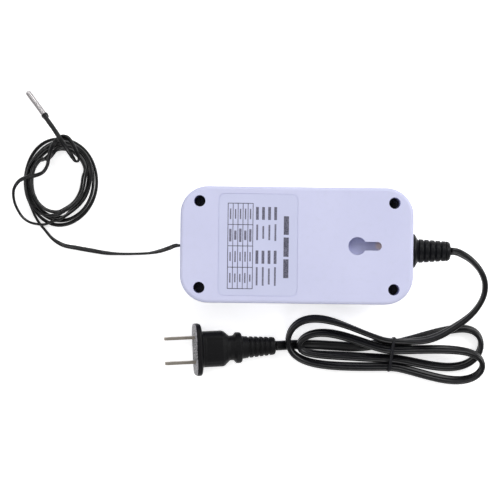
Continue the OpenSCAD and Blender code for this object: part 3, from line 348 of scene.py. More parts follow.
# The loose end: out to the left, back over the bunch, up inside it, out at the top, and in a
# hairpin back to the probe
LOOSE_END = [
    (-131.2, 9.3), (-134.6, 9.5), (-138.2, 10.3), (-141.5, 12.4), (-144.4, 16.6), (-146.3, 22.0),
    (-146.2, 27.2), (-143.2, 31.6), (-138.6, 33.6), (-134.4, 34.5), (-131.0, 36.2),
    (-129.0, 39.6), (-128.3, 43.5), (-127.6, 47.2), (-125.8, 51.1), (-123.4, 53.7),
    (-121.0, 54.8), (-118.9, 54.4), (-117.0, 52.8), (-115.5, 50.4), (-114.1, 47.9),
    (-113.0, 45.4), (-112.6, 43.5), (-113.1, 42.1), (-114.3, 42.1), (-115.6, 43.7),
    (-117.5, 46.5), (-120.0, 50.3), (-122.9, 54.6), (-125.9, 58.9), (-128.4, 62.2),
    (-130.3, 64.7), (-131.2, 65.9),
]
LOOSE_ROLLS = [90, 90, 90, 90, 90, 90, 80, 60, 45, 50, 65, 70, 60, 45, 38, 35, 35, 40, 50, 50,
               45, 50, 75, 90, 80, 50, 25, 8, 0, 0, 0, 0, 0]
print("points before the coil:", len(SENSOR_ROUTE), "and after it:", len(LOOSE_END))

# %% The coil seen from above
COIL_AT = (-122.9, 32.2)
COIL_HALF = (18.9, 22.8)
COIL_START = 215  # degrees
COIL_Z = 1.275
COIL_STEP = 0.1
COIL_KEPT = 4  # every fourth point
# How far inside the outline each eighth of a turn lies: one line for each turn, from the lower
# left round by the top
COIL_INSETS = [
    (0.0, 0.4, 0.2, 1.0, 0.5, 0.1, 0.3, -0.3),
    (0.8, 1.6, 2.5, 2.4, 2.0, 1.7, 1.9, 2.2),
    (2.4, 2.8, 5.0, 4.2, 3.6, 5.0, 6.4, 3.8),
    (3.7, 4.0, 7.4, 6.0, 5.3, 8.0, 8.2, 6.2),
    (4.9, 5.2, 9.2, 4.9, 3.0, 6.4, 7.2, 4.4),
    (1.7, 2.2, 3.8, 3.1, 1.6, 3.4, 5.0, 1.6),
]
# Degrees: the usual roll in the coil, its swing, and two uneven beats so that it never repeats
COIL_ROLL = 68
COIL_SWING = 22
COIL_BEATS = (0.37, 0.11)


def coil_plan():
    """The coil's centre line: its insets are smoothed, and only some of the points are kept."""
    insets = [value for turn in COIL_INSETS for value in turn]
    plan = []
    for eighth, inset, _ in smooth_line([(k, v, 0) for k, v in enumerate(insets)], COIL_STEP):
        angle = math.radians(COIL_START - 45 * eighth)
        plan.append((COIL_AT[0] + (COIL_HALF[0] - inset) * math.cos(angle),
                     COIL_AT[1] + (COIL_HALF[1] - inset) * math.sin(angle)))
    return plan[::COIL_KEPT]


coil_points = [(x, y, COIL_Z) for x, y in coil_plan()]
coil_rolls = [COIL_ROLL + COIL_SWING * math.cos(COIL_BEATS[0] * k) * math.cos(COIL_BEATS[1] * k + 1)
              for k in range(len(coil_points))]
print("coil:", len(coil_points), "points on", len(COIL_INSETS), "turns")

# %% [markdown]
# ## Laying the cable down
#
# A height for each crossing could be written by hand, but some dozens of crossings move whenever a
# point does. So the heights are worked out as the cable is laid, from its start: it lies on the
# table, and wherever an earlier strand lies below, it rests on top of that one, with a slope up and
# a slope down. Doing this a few times lets each slope push up what lies above it.

# %% Laying a cable down
PROBE_FOOT_Z = 3.2
CLIMB = 0.3       # rise for each unit of length
GAP = 0.05        # kept free under a strand
SETTLE = 0.04     # how far smoothing may bring a strand down
TOUCH = 0.92      # of two half widths: strands that are nearer than this cross
OWN_WIDTHS = 2.5  # widths of the cable just behind a point that it can't cross
LAY_TIMES = 4
SOFTEN = 4        # points to each side that are averaged


def lay_down(line, rolls, first, wide, thick):
    """Heights of a cable laid on a table from point first on, over its own earlier strands."""
    lobe = wide / 2 - thick / 2
    lean = np.radians(rolls)
    tall = thick / 2 + lobe * np.abs(np.sin(lean))
    broad = thick / 2 + lobe * np.abs(np.cos(lean))
    step = float(np.linalg.norm(line[1] - line[0]))
    skip = round(OWN_WIDTHS * wide / step)
    heights = np.maximum(line[:, 2], tall + GAP)
    heights[first:] = tall[first:] + GAP
    heights[-1] = PROBE_FOOT_Z
    for _ in range(LAY_TIMES):
        for i in range(max(first, skip), len(line)):
            apart = np.linalg.norm(line[:i - skip, :2] - line[i, :2], axis=1)
            under = apart < TOUCH * (broad[:i - skip] + broad[i])
            if under.any():
                top = (heights[:i - skip] + tall[:i - skip])[under].max()
                heights[i] = max(heights[i], top + tall[i] + GAP)
        for order in (range(first + 1, len(line)), range(len(line) - 2, first - 1, -1)):
            for i in order:
                heights[i] = max(heights[i], heights[i - order.step] - CLIMB * step)
    window = np.ones(2 * SOFTEN + 1) / (2 * SOFTEN + 1)
    soft = np.convolve(np.pad(heights, SOFTEN, mode="edge"), window, mode="valid")
    return np.concatenate([heights[:first], np.maximum(soft, heights - SETTLE)[first:]])


print("slope at a crossing:", round(math.degrees(math.atan(CLIMB))), "degrees at most")

# %% The sensor cable
SENSOR_STEP = 0.8
LAID_FROM_Y = 16.0  # before this the cable keeps the heights of its route

sensor_points = SENSOR_ROUTE + coil_points + [(x, y, COIL_Z) for x, y in LOOSE_END]
sensor_rolls = SENSOR_ROLLS + coil_rolls + LOOSE_ROLLS
sensor_line, sensor_roll = with_rolls(sensor_points, sensor_rolls, SENSOR_STEP)
laid_from = int(np.argmax(sensor_line[:, 1] > LAID_FROM_Y))
sensor_line[:, 2] = lay_down(sensor_line, sensor_roll, laid_from, CABLE_WIDE, CABLE_THICK)
print("tallest crossing:", round(float(sensor_line[laid_from:, 2].max()), 1), "mm")
sensor_line = sensor_line * MM
sensor_cord = tube("sensor_cord", sensor_line, two_core_section(CABLE_WIDE, CABLE_THICK, 7),
                   sensor_roll)
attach(sensor_cord, "housing")
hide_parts("sensor_lead", "sensor_coil", "sensor_tail")
print("sensor cable:", round(run_length(sensor_line), 3), "m,", len(sensor_line), "rings")

# %% [markdown]
# ## Turned and lofted pieces
#
# The strain relief and the sleeve are round, so a profile turned about an axis makes them. The
# plug is a loft: at each station along it a rounded rectangle has a width, a height and a power
# that makes it squarer. A box with bevels would need a new bevel for every change of form. Here
# the stations are read off at short steps and softened, which rounds each edge as a mould does.

# %% Turned pieces
SHARP = 50  # degrees from which an edge shows as an edge


def grid_mesh(name, rings):
    """A closed mesh through rings of equally many points, capped at both ends."""
    verts = [tuple(float(c) for c in point) for ring in rings for point in ring]
    mesh = bpy.data.meshes.new(name)
    mesh.from_pydata(verts, [], skin_faces(len(rings), len(rings[0])))
    mesh.shade_smooth()
    mesh.set_sharp_from_angle(angle=math.radians(SHARP))
    return add_object(name, mesh)


def turned(name, profile, matrix, sides=72):
    """A profile of (distance along, radius) turned about the matrix's x axis."""
    angles = [2 * math.pi * k / sides for k in range(sides)]
    return grid_mesh(name, [
        [matrix @ Vector(in_metres(along, radius * math.cos(a), radius * math.sin(a)))
         for a in angles] for along, radius in profile])


print("edges sharper than", SHARP, "degrees stay crisp")

# %% Lofted pieces
def softened(stations, step, soft):
    """The stations' columns read off every step and averaged over soft to each side."""
    table = np.array(stations, float)
    along = np.arange(table[0, 0], table[-1, 0] + step / 2, step)
    reach = round(soft / step)
    window = np.hanning(2 * reach + 3)[1:-1]
    columns = []
    for k in (1, 2, 3):
        values = np.pad(np.interp(along, table[:, 0], table[:, k]), reach, mode="edge")
        columns.append(np.convolve(values, window / window.sum(), mode="valid"))
    return zip(along, *columns)


def lofted(name, stations, matrix, step=0.12, soft=0.3, sides=80, shape=None):
    """Rounded rectangles from stations (along, width, height, power), softened along the way."""
    rings = []
    for x, width, height, power in softened(stations, step, soft):
        ring = []
        for k in range(sides):
            c, s = math.cos(2 * math.pi * k / sides), math.sin(2 * math.pi * k / sides)
            y = width / 2 * math.copysign(abs(c) ** (2 / power), c)
            z = height / 2 * math.copysign(abs(s) ** (2 / power), s)
            if shape:
                y, z = shape(x, y, z)
            ring.append(matrix @ Vector(in_metres(x, y, z)))
        rings.append(ring)
    return grid_mesh(name, rings)


print("rings of a loft 1 mm long:", len(list(softened([(0, 1, 1, 2), (1, 1, 1, 2)], 0.12, 0.3))))

# %% [markdown]
# ## The strain relief
#
# A moulded sleeve with five round ribs, so that it bends more easily towards its tip. Its foot is
# a flange that spreads on the end wall. Rings stacked on a cone would leave seams between them, so
# it is turned in one piece and its radius is one formula: a slow taper, less a shallow valley
# wherever one rib meets the next.

# %% The strain relief
RELIEF_AT = Matrix.Translation(in_metres(59.5, -2.1, 15.5))
# Distance along and radius: the flange and the neck before the ribs, and the hole in the tip
FLANGE = [(-0.3, 0.5), (-0.3, 8.6), (0.2, 8.7), (1.2, 8.65), (1.6, 8.3), (2.0, 7.5), (2.6, 6.5),
          (3.2, 5.6)]
TIP_HOLE = [(19.9, 2.7), (19.6, 0.4)]
RIBS = 5
RIBS_FROM = 3.2
RIB_PITCH = 2.92
RIB_STEPS = 90
RIB_RADII = (6.15, 5.05)
VALLEY = 0.62
VALLEY_FROM = 0.55  # of the way from a rib's middle to its edge
LAST_VALLEY = 0.98  # of the ribs' length: the last rib runs straight into the tip
TIP_ROUND = 1.9
TIP_STEPS = 8


def relief_profile():
    """Distance along and radius, from the flange to the hole in the tip."""
    profile = list(FLANGE)
    for k in range(1, RIB_STEPS + 1):
        u = k / RIB_STEPS
        from_middle = abs((u * RIBS) % 1 - 0.5) * 2
        valley = VALLEY * ease((from_middle - VALLEY_FROM) / (1 - VALLEY_FROM))
        profile.append((RIBS_FROM + u * RIBS * RIB_PITCH,
                        mix(*RIB_RADII, u) - (valley if u < LAST_VALLEY else 0)))
    tip = RIBS_FROM + RIBS * RIB_PITCH
    for k in range(1, TIP_STEPS + 1):
        a = math.radians(90 * k / TIP_STEPS)
        profile.append((tip + TIP_ROUND * math.sin(a),
                        RIB_RADII[1] - TIP_ROUND * (1 - math.cos(a))))
    return profile + TIP_HOLE


relief = turned("relief", relief_profile(), RELIEF_AT)
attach(relief, "housing")
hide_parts("strain_relief")
print("strain relief:", len(relief.data.polygons), "faces")

# %% [markdown]
# ## The plug
#
# Soft vinyl moulded round the blades and the cord. From the cord on it has a tail with five
# narrow slits, a collar, a waist, a square body with a shallow grip panel on both faces, and a
# guard that keeps the fingers off the blades. Slits and panel could be cut with Booleans, but as
# part of the loft's sizes they get the same soft edges as all else. The hard bridge shows as the
# front face, a plate of its own, whose grey is a painted reflection of light grazing the face.
# The blades are CAD's.

# %% The plug's tail
PLUG_AT = (Matrix.Translation(in_metres(-10.1, -52.3, 4.7)) @
           Matrix.Rotation(math.radians(3.1), 4, "Z") @
           Matrix.Rotation(math.radians(8.5), 4, "Y") @ Matrix.Rotation(math.pi, 4, "Z"))
TAIL = 17.55
TAIL_SIZE = (9.3, 8.6)
TAIL_GROWS = 2.6
TAIL_POWER = 2.4
SLITS = 5
SLIT_FROM = 2.7
SLIT_PITCH = 2.63
SLIT_WIDE = 0.95
SLIT_DEEP = 1.1
SLIT_EDGE = 0.12


def tail_stations():
    """Stations of the tail, with two at each slit's edges."""
    stations = [(0, 7.4, 6.8, 2.3), (0.5, 9.0, 8.3, TAIL_POWER)]
    for k in range(SLITS):
        at = SLIT_FROM + k * SLIT_PITCH
        grow = TAIL_GROWS * at / TAIL
        for along, deep in ((0, 0), (SLIT_EDGE, SLIT_DEEP), (SLIT_WIDE, SLIT_DEEP),
                            (SLIT_WIDE + SLIT_EDGE, 0)):
            stations.append((at + along, TAIL_SIZE[0] + grow - deep, TAIL_SIZE[1] + grow - deep,
                             TAIL_POWER))
    return stations + [(TAIL - 0.05, 11.9, 11.2, TAIL_POWER)]


print("tail stations:", len(tail_stations()))

# %% The plug's body and face
PLUG_LONG = 41.6
# Along, width, height and power: the collar and the waist, the body, and the guard
COLLAR = [(TAIL + 0.1, 14.6, 11.4, 2.6), (TAIL + 0.9, 16, 12.6, 2.6), (TAIL + 3.1, 16, 12.6, 2.6),
          (TAIL + 4.1, 13.4, 11.3, 2.6), (TAIL + 4.6, 12.8, 11, 2.6), (TAIL + 6.5, 12.9, 11.1, 2.6)]
BODY = [(TAIL + 9.2, 17.8, 13.6, 3.0), (TAIL + 10.3, 18.6, 14.6, 3.2), (37.9, 18.6, 14.6, 3.4)]
GUARD = [(38.5, 19.6, 15.6, 3.4), (38.6, 24.6, 18.6, 3.0), (39.3, 26.7, 20.7, 3.6),
         (39.9, 27, 21, 3.8), (41.3, 27, 21, 3.8), (PLUG_LONG, 26.7, 20.7, 3.8)]
FACE_PLATE = [(PLUG_LONG - 0.3, 26.5, 20.5, 3.9), (PLUG_LONG + 0.25, 26.5, 20.5, 3.9),
              (PLUG_LONG + 0.4, 26.2, 20.2, 3.9)]
# The grip panel: from, to, half its width, its depth, its edge, and the height it starts above
PANEL_FROM, PANEL_TO, PANEL_HALF = 25.5, 36.8, 5.6
PANEL_DEEP = 0.28
PANEL_EDGE = 0.5
PANEL_ABOVE = 5


def grip_panel(x, y, z):
    """Both broad faces sink a little inside the panel."""
    inside = (ease((x - PANEL_FROM) / PANEL_EDGE) * ease((PANEL_TO - x) / PANEL_EDGE)
              * ease((PANEL_HALF - abs(y)) / PANEL_EDGE))
    return y, z - math.copysign(PANEL_DEEP * inside, z) if abs(z) > PANEL_ABOVE else z


plug = lofted("plug_moulding", tail_stations() + COLLAR + BODY + GUARD, PLUG_AT, shape=grip_panel)
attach(plug, "housing")
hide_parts("plug_body")

plug_face = lofted("plug_face", FACE_PLATE, PLUG_AT, step=0.1, soft=0.1, sides=96)
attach(plug_face, "housing")
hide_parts("plug_core")
print("plug:", len(plug.data.polygons), "faces,", len(plug_face.data.polygons), "on its face")

# %% [markdown]
# ## The tie
#
# A flat plastic ribbon with a wire in its middle, bent round the five runs. A curve with a bevel
# would do for a round tie; this one has a section of its own, with a thick middle and thin edges,
# that goes once round a squarish loop and joins itself.

# %% The tie
TIE_AT = (Matrix.Translation(in_metres(50.5, -56.0, 5.05)) @
          Matrix.Rotation(math.radians(-9.2), 4, "Z"))
TIE_LONG = 18.6
TIE_TALL = 9.9
TIE_STEPS = 96
TIE_SQUARENESS = 0.42  # the power that makes an oval squarer: 1 would leave it round
TIE_WANDER = 0.18
# Across the ribbon and outwards: the wire is the hump in the middle
RIBBON = [(-0.8, 0.05), (-0.45, 0.14), (-0.22, 0.34), (0, 0.42), (0.22, 0.34), (0.45, 0.14),
          (0.8, 0.05), (0.8, -0.1), (0, -0.14), (-0.8, -0.1)]
RIBBON_ROOM = 0.45  # from the loop to the tie's outer size, so that the hump fits inside


def tie_loop():
    """Points round the bundle, in the plane of the tie, with a slight wander sideways."""
    points = []
    half = (TIE_LONG / 2 - RIBBON_ROOM, TIE_TALL / 2 - RIBBON_ROOM)
    for k in range(TIE_STEPS):
        a = 2 * math.pi * k / TIE_STEPS
        c, s = math.cos(a), math.sin(a)
        points.append(Vector((TIE_WANDER * math.sin(3 * a + 1),
                              half[0] * math.copysign(abs(c) ** TIE_SQUARENESS, c),
                              half[1] * math.copysign(abs(s) ** TIE_SQUARENESS, s))))
    return points


def ribbon_mesh():
    """The ribbon's section carried round the loop and joined to its start."""
    loop = tie_loop()
    verts = []
    for k, point in enumerate(loop):
        heading = (loop[(k + 1) % len(loop)] - loop[k - 1]).normalized()
        outward = heading.cross(Vector((1, 0, 0))).normalized()
        outward = outward if outward.dot(point) > 0 else -outward
        verts += [TIE_AT @ ((point + Vector((w, 0, 0)) + outward * t) * MM) for w, t in RIBBON]
    around, count = len(RIBBON), len(loop)
    faces = [(i * around + k, i * around + (k + 1) % around,
              (i + 1) % count * around + (k + 1) % around, (i + 1) % count * around + k)
             for i in range(count) for k in range(around)]
    mesh = bpy.data.meshes.new("tie")
    mesh.from_pydata([tuple(v) for v in verts], [], faces)
    mesh.shade_smooth()
    return add_object("tie", mesh)


tie = ribbon_mesh()
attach(tie, "housing")
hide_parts("cord_tie")
print("tie:", len(tie.data.polygons), "faces")

# %% [markdown]
# ## The probe's sleeve
#
# A piece of shrink tube. It hugs the metal, swells over the joint and closes on the cable, so it
# is round all along and its profile is turned, as the relief's was. Last, all the pieces made of
# rings get their faces turned outwards, because the order of the points alone doesn't settle that.

# %% The probe's sleeve
PROBE_TURN = 127.3  # degrees
PROBE_LEAN = 95.2
PROBE_AT = (Matrix.Translation(in_metres(-131.5, 66.3, PROBE_FOOT_Z)) @
            Matrix.Rotation(math.radians(PROBE_TURN), 4, "Z") @
            Matrix.Rotation(math.radians(PROBE_LEAN), 4, "Y") @
            Matrix.Rotation(math.radians(-90), 4, "Y"))
SLEEVE = [(-2.0, 0.3), (-2.0, 1.15), (-1.75, 1.42), (-1.3, 1.6), (-0.6, 1.74), (0, 1.79),
          (0.4, 1.72), (0.7, 1.6), (0.8, 1.53), (0.8, 0.3)]

sleeve = turned("sleeve", SLEEVE, PROBE_AT, 40)
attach(sleeve, "housing")
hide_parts("probe_sleeve")

for piece in (relief, plug, plug_face, tie, sleeve):
    work = bmesh.new()
    work.from_mesh(piece.data)
    bmesh.ops.recalc_face_normals(work, faces=work.faces)
    work.to_mesh(piece.data)
    work.free()
print("sleeve:", len(sleeve.data.polygons), "faces; five pieces face outwards")

# %% [markdown]
# ## Writing finishes as sums
#
# A finish is a graph of shader nodes. It could be wired node by node, but that hides what it
# means. So a small class stands for a number on its way through the graph, which lets a mask be
# written as an expression, and one method adds any other node with its settings and the values of
# its sockets.

# %% Numbers in a graph
class Signal:
    """A number in a graph of nodes. Arithmetic on it adds Math nodes."""

    def __init__(self, graph, socket):
        self.graph = graph
        self.socket = socket

    def maths(self, operation, *values):
        return self.graph.node("ShaderNodeMath", {"operation": operation}, values)

    def __add__(self, other):
        return self.maths("ADD", self, other)

    __radd__ = __add__

    def __sub__(self, other):
        return self.maths("SUBTRACT", self, other)

    def __rsub__(self, other):
        return self.maths("SUBTRACT", other, self)

    def __mul__(self, other):
        return self.maths("MULTIPLY", self, other)

    __rmul__ = __mul__

    def __truediv__(self, other):
        return self.maths("DIVIDE", self, other)

    def size(self):
        return self.maths("ABSOLUTE", self)

    def fraction(self):
        return self.maths("FRACT", self)

    def below(self, other):
        return self.maths("LESS_THAN", self, other)

    def fade(self, low, high):
        """0 below low, 1 above high, a slope between."""
        return self.graph.node("ShaderNodeMapRange", {"clamp": True}, [self, low, high])


def linear(*rgb):
    """A colour written 0 to 255 as on a screen, as the linear values that a shader takes."""
    parts = [c / 255 for c in rgb]
    return [p / 12.92 if p <= 0.04045 else ((p + 0.055) / 1.055) ** 2.4 for p in parts] + [1]


def times(colour, factor):
    """A colour made darker or lighter."""
    return [min(1, c * factor) for c in colour[:3]] + [1]


print("mid grey as a linear value:", round(linear(128, 128, 128)[0], 3))

# %% Graphs of nodes
class Graph:
    """Nodes of a material or of a geometry group."""

    def __init__(self, tree):
        self.tree = tree
        self.tree.nodes.clear()

    def node(self, kind, settings, values=(), output=0):
        """A node of that kind: its settings first, then its sockets, by name or by number."""
        made = self.tree.nodes.new(kind)
        for key, value in settings.items():
            setattr(made, key, value)
        pairs = values.items() if isinstance(values, dict) else enumerate(values)
        for key, value in pairs:
            if isinstance(value, Signal):
                self.tree.links.new(value.socket, made.inputs[key])
            elif value is not None:
                made.inputs[key].default_value = value
        return Signal(self, made.outputs[output]) if made.outputs else None


class Finish(Graph):
    """A material and the graph behind it."""

    def __init__(self, name):
        self.material = bpy.data.materials.new(name)
        self.material.use_nodes = True
        super().__init__(self.material.node_tree)
        self.place = self.node("ShaderNodeTexCoord", {}, [], "Object")

    def noise(self, scale, detail=3.0, place=None, roughness=0.5):
        return self.node("ShaderNodeTexNoise", {}, {
            "Vector": place or self.place, "Scale": scale, "Detail": detail,
            "Roughness": roughness})

    def grains(self, scale):
        return self.node("ShaderNodeTexVoronoi", {"feature": "F1"},
                         {"Vector": self.place, "Scale": scale}, "Distance")

    def parts(self):
        """The x, y and z of a point on the piece, each as a Signal."""
        split = self.node("ShaderNodeSeparateXYZ", {}, [self.place]).socket.node
        return [Signal(self, output) for output in split.outputs]

    def stretched(self, scale, turn=(0, 0, 0), place=None):
        return self.node("ShaderNodeMapping", {}, {
            "Vector": place or self.place, "Scale": scale, "Rotation": turn})

    def blend(self, factor, one, other):
        """A colour between two others."""
        return self.node("ShaderNodeMix", {"data_type": "RGBA"}, {0: factor, 6: one, 7: other}, 2)

    def bump(self, height, distance, strength=1.0, under=None):
        return self.node("ShaderNodeBump", {}, {
            "Strength": strength, "Distance": distance, "Height": height, "Normal": under},
            "Normal")

    def shade(self, colour, roughness, normal=None, **others):
        """The Principled surface; others are its sockets by name, with _ for a space."""
        values = {"Base Color": colour, "Roughness": roughness, "Normal": normal}
        values.update({key.replace("_", " "): value for key, value in others.items()})
        surface = self.node("ShaderNodeBsdfPrincipled", {}, values)
        self.node("ShaderNodeOutputMaterial", {}, [surface])
        return self.material


print("a finish can:", [name for name in vars(Finish) if not name.startswith("_")])

# %% [markdown]
# ## Moulded plastic, metal, vinyl and resin
#
# Most parts share a few kinds of surface. Moulded plastic has a fine eroded grain, a slow drift of
# colour and faint rub marks. Metal is drawn or rolled, so its scratches run one way. Soft vinyl is
# duller, with a coarser skin and dust in its pores. The plug's bridge is a resin with dark flecks,
# and a grey that is a painted reflection. Photographs of such surfaces would give a texture too,
# but noise at the right scale has no seams and needs no file. Each is a function with a colour of
# its own; the bridge's grey stands in for light grazing its face.

# %% Hard plastic and metal
SCRATCH_SCALE = 9000


def moulded(name, colour, roughness=0.45, **others):
    """Hard moulded plastic with an eroded grain."""
    finish = Finish(name)
    drift = finish.noise(60, 4)
    rub = finish.noise(900, 5, finish.stretched((1, 0.25, 1), (0, 0, 0.5)), 0.65)
    body = finish.blend(drift.fade(0.35, 0.65), times(colour, 0.92), times(colour, 1.06))
    gloss = roughness - 0.06 * rub.fade(0.55, 0.75) + 0.05 * drift
    return finish.shade(body, gloss, finish.bump(finish.grains(9000), 0.004 * MM), **others)


def metal(name, colour, roughness=0.3, run=(0.02, 1, 1), turn=(0, 0, 0), worn=1.0):
    """Bare metal whose scratches follow one direction, with a little tarnish."""
    finish = Finish(name)
    lines = finish.noise(SCRATCH_SCALE, 4, finish.stretched(run, turn), 0.7)
    tarnish = finish.noise(350, 5)
    body = finish.blend(tarnish.fade(0.45, 0.8), colour, times(colour, 0.72))
    gloss = roughness + worn * (0.15 * lines + 0.12 * tarnish.fade(0.5, 0.8))
    return finish.shade(body, gloss, finish.bump(lines, 0.006 * MM), Metallic=1.0)


brass = metal("contact_brass", linear(214, 178, 96))
print("brass has", len(brass.node_tree.nodes), "shader nodes")

# %% Soft vinyl and speckled resin
FACE_MIDDLE = -54.6 * MM  # between the blades, on the object's y axis
FLECKED_HALF = (4.6 * MM, 6.2 * MM)


def vinyl(name, colour, roughness=0.42):
    """Soft vinyl or rubber: a slightly wavy skin with dust in its pores."""
    finish = Finish(name)
    skin = finish.noise(1400, 4)
    pores = finish.noise(7000, 2)
    dusty = [min(1, c * 1.5 + 0.006) for c in colour[:3]] + [1]
    body = finish.blend(skin.fade(0.5, 0.8) * 0.5, colour, dusty)
    gloss = roughness + 0.14 * pores - 0.1 * skin.fade(0.5, 0.8)
    under = finish.bump(skin, 0.02 * MM)
    return finish.shade(body, gloss, finish.bump(pores, 0.006 * MM, 1.0, under),
                        Specular_IOR_Level=0.16)


def speckled(name, colour, fleck):
    """Hard resin with dark flecks, most of them between the blades."""
    finish = Finish(name)
    _, y, _ = finish.parts()
    flecks = finish.noise(1700, 3, finish.stretched((1, 1, 0.22)), 0.7)
    middle = 1 - (y - FACE_MIDDLE).size().fade(*FLECKED_HALF)
    cloud = finish.noise(240, 3)
    body = finish.blend(cloud.fade(0.35, 0.7) * 0.4, colour, times(colour, 0.7))
    body = finish.blend((flecks + middle * 0.09).fade(0.56, 0.6), body, fleck)
    return finish.shade(body, 0.5 + 0.15 * flecks, finish.bump(flecks, 0.02 * MM))


# The bridge's grey is a painted reflection of light grazing the plug's face
bridge = speckled("plug_bridge", linear(164, 163, 168), linear(30, 29, 32))
print("the bridge has", len(bridge.node_tree.nodes), "shader nodes")

# %% [markdown]
# ## The housing's plastic
#
# Pale lavender plastic with a spark eroded grain. A hair of shadow marks where the two covers
# meet, and a painted highlight, a pale tan patch of light, sits on the end wall of the keyhole's
# slot. A painted map could hold both, but each has a plain place, so they are masks on the
# object's own coordinates, which are the frame's metres.

# %% Housing plastic
JOINT_Z = 15.5 * MM
JOINT_LINE = (0.02 * MM, 0.1 * MM)  # the joint's shadow fades between these distances from it
# The painted highlight on the keyhole slot's end wall: its middle, and the distances over which it
# fades
SLOT_END = (42.6 * MM, 0.5 * MM)
HIGHLIGHT_REACH = (1.0 * MM, 2.9 * MM)
# The painted highlight is inside the pocket: from the pocket's floor to just below the outer face
HIGHLIGHT_ABOVE = (23.0 * MM, 23.4 * MM)
HIGHLIGHT_BELOW = (30.6 * MM, 30.95 * MM)


def housing_plastic():
    """Grained plastic, the shadow in the covers' joint, and a painted highlight in the keyhole's
    slot.
    """
    finish = Finish("housing_plastic")
    x, y, z = finish.parts()
    drift = finish.noise(28, 3)
    mottle = finish.noise(320, 4)
    body = finish.blend(drift.fade(0.3, 0.7), linear(203, 205, 234), linear(208, 210, 238))
    body = finish.blend(mottle.fade(0.5, 0.8) * 0.35, body, linear(198, 201, 226))
    seam = 1 - (z - JOINT_Z).size().fade(*JOINT_LINE)
    body = finish.blend(seam * 0.75, body, linear(96, 98, 122))
    # Painted highlight: a pale tan patch of light on the end wall of the keyhole's slot, in patches
    reach = (x - SLOT_END[0]) * (x - SLOT_END[0]) + (y - SLOT_END[1]) * (y - SLOT_END[1])
    mark = 1 - reach.fade(HIGHLIGHT_REACH[0] ** 2, HIGHLIGHT_REACH[1] ** 2)
    mark = mark * z.fade(*HIGHLIGHT_ABOVE) * (1 - z.fade(*HIGHLIGHT_BELOW)) * mottle.fade(0.1, 0.4)
    body = finish.blend(mark * 0.9, body, linear(250, 226, 206))
    rub = finish.noise(700, 6, finish.stretched((1, 0.12, 1), (0, 0, 0.35)), 0.7)
    gloss = 0.44 + 0.06 * mottle - 0.09 * rub.fade(0.62, 0.78)
    under = finish.bump(1 - seam, 0.08 * MM)
    return finish.shade(body, gloss, finish.bump(finish.grains(5200), 0.005 * MM, 0.8, under))


housing = housing_plastic()
print("housing plastic:", len(housing.node_tree.nodes), "shader nodes")

# %% [markdown]
# ## Label, window, film and board
#
# Four surfaces are unlike the rest, so each has its own function. The label is a matt film with a
# felt of fibres, the window and the fuse are tinted clear panes, the face is a dark grained film,
# and the board has copper tracks under green lacquer. The tracks could be modelled, but they are
# thinner than a hair and inside the box, so they are a pattern of the lacquer.

# %% Label, window, film and board
def label_film():
    """Matt printed film: a fine felt of fibres under a thin varnish."""
    finish = Finish("label_film")
    fibre = finish.noise(2600, 4, finish.stretched((1, 0.35, 1)), 0.6)
    cloud = finish.noise(45, 3)
    body = finish.blend(cloud.fade(0.35, 0.65), linear(199, 202, 230), linear(203, 206, 234))
    return finish.shade(body, 0.56 + 0.08 * fibre, finish.bump(fibre, 0.006 * MM, 0.6))


def tinted_pane(name, colour):
    """Clear plastic or glass with a tint and a faint haze."""
    finish = Finish(name)
    haze = finish.noise(500, 4)
    body = finish.blend(haze.fade(0.4, 0.7), colour, times(colour, 0.8))
    gloss = 0.06 + 0.08 * haze.fade(0.55, 0.8)
    return finish.shade(body, gloss, finish.bump(haze, 0.004 * MM), Transmission_Weight=0.75,
                        IOR=1.49)


def overlay_film():
    """The face's dark film, with a fine grain."""
    finish = Finish("overlay_film")
    grain = finish.grains(5200)
    cloud = finish.noise(70, 3)
    body = finish.blend(cloud.fade(0.35, 0.65), linear(46, 50, 60), linear(54, 58, 70))
    return finish.shade(body, 0.42 + 0.12 * grain, finish.bump(grain, 0.006 * MM))


def board_lacquer():
    """Green solder lacquer with the copper tracks showing through as paler lines."""
    finish = Finish("board_lacquer")
    x, y, _ = finish.parts()
    wander = finish.noise(180, 2)
    across = ((x / MM + 1.6 * wander) * 0.45).fraction()
    down = ((y / MM + 1.6 * wander) * 0.4).fraction()
    one_way = wander.fade(0.42, 0.44)
    tracks = (across - 0.5).size().below(0.16) * one_way
    tracks = tracks + (down - 0.5).size().below(0.15) * (1 - one_way)
    body = finish.blend(tracks, linear(16, 84, 48), linear(32, 118, 66))
    weave = finish.noise(4200, 2)
    return finish.shade(body, 0.28 + 0.12 * weave, finish.bump(tracks + 0.3 * weave, 0.02 * MM))


label, overlay, board = label_film(), overlay_film(), board_lacquer()
print("finishes of their own:", [finish.name for finish in (label, overlay, board)])

# %% [markdown]
# ## A finish for every node
#
# One table says which finish each CAD node gets, first what shows and then what is inside. Colours
# could be set by hand in the material list, but a table can be read and checked at a glance. The
# parts inside have the colours that most makers give them, such as blue for a relay and a varistor,
# and brown and blue for the wires.

# %% Finishes of what shows
finishes = {
    "rear_cover": housing,
    "front_cover": housing,
    "rear_label": label,
    "case_screws": metal("black_screw", linear(42, 42, 46), 0.38),
    "strain_relief": vinyl("relief_vinyl", linear(13, 14, 17), 0.36),
    "cord_tie": vinyl("tie_vinyl", linear(26, 26, 30), 0.34),
    "plug_body": vinyl("plug_vinyl", linear(12, 12, 14)),
    "plug_core": bridge,
    "plug_blades": metal("plated_blade", linear(176, 168, 158), 0.3, (1, 0.03, 1)),
    "probe_sleeve": vinyl("shrink_sleeve", linear(16, 16, 18), 0.45),
    "probe_tube": metal("drawn_steel", linear(178, 175, 176), 0.2, (1, 1, 0.03),
                        (0, math.radians(-PROBE_LEAN), math.radians(-PROBE_TURN)), 0.3),
    "front_overlay": overlay,
    "display_window": tinted_pane("window_pane", linear(150, 20, 18)),
    "button_up": moulded("key_cap", linear(216, 218, 222), 0.4),
    "socket_insert": moulded("socket_black", linear(26, 26, 29), 0.42),
}
print("finishes of what shows:", len(finishes))

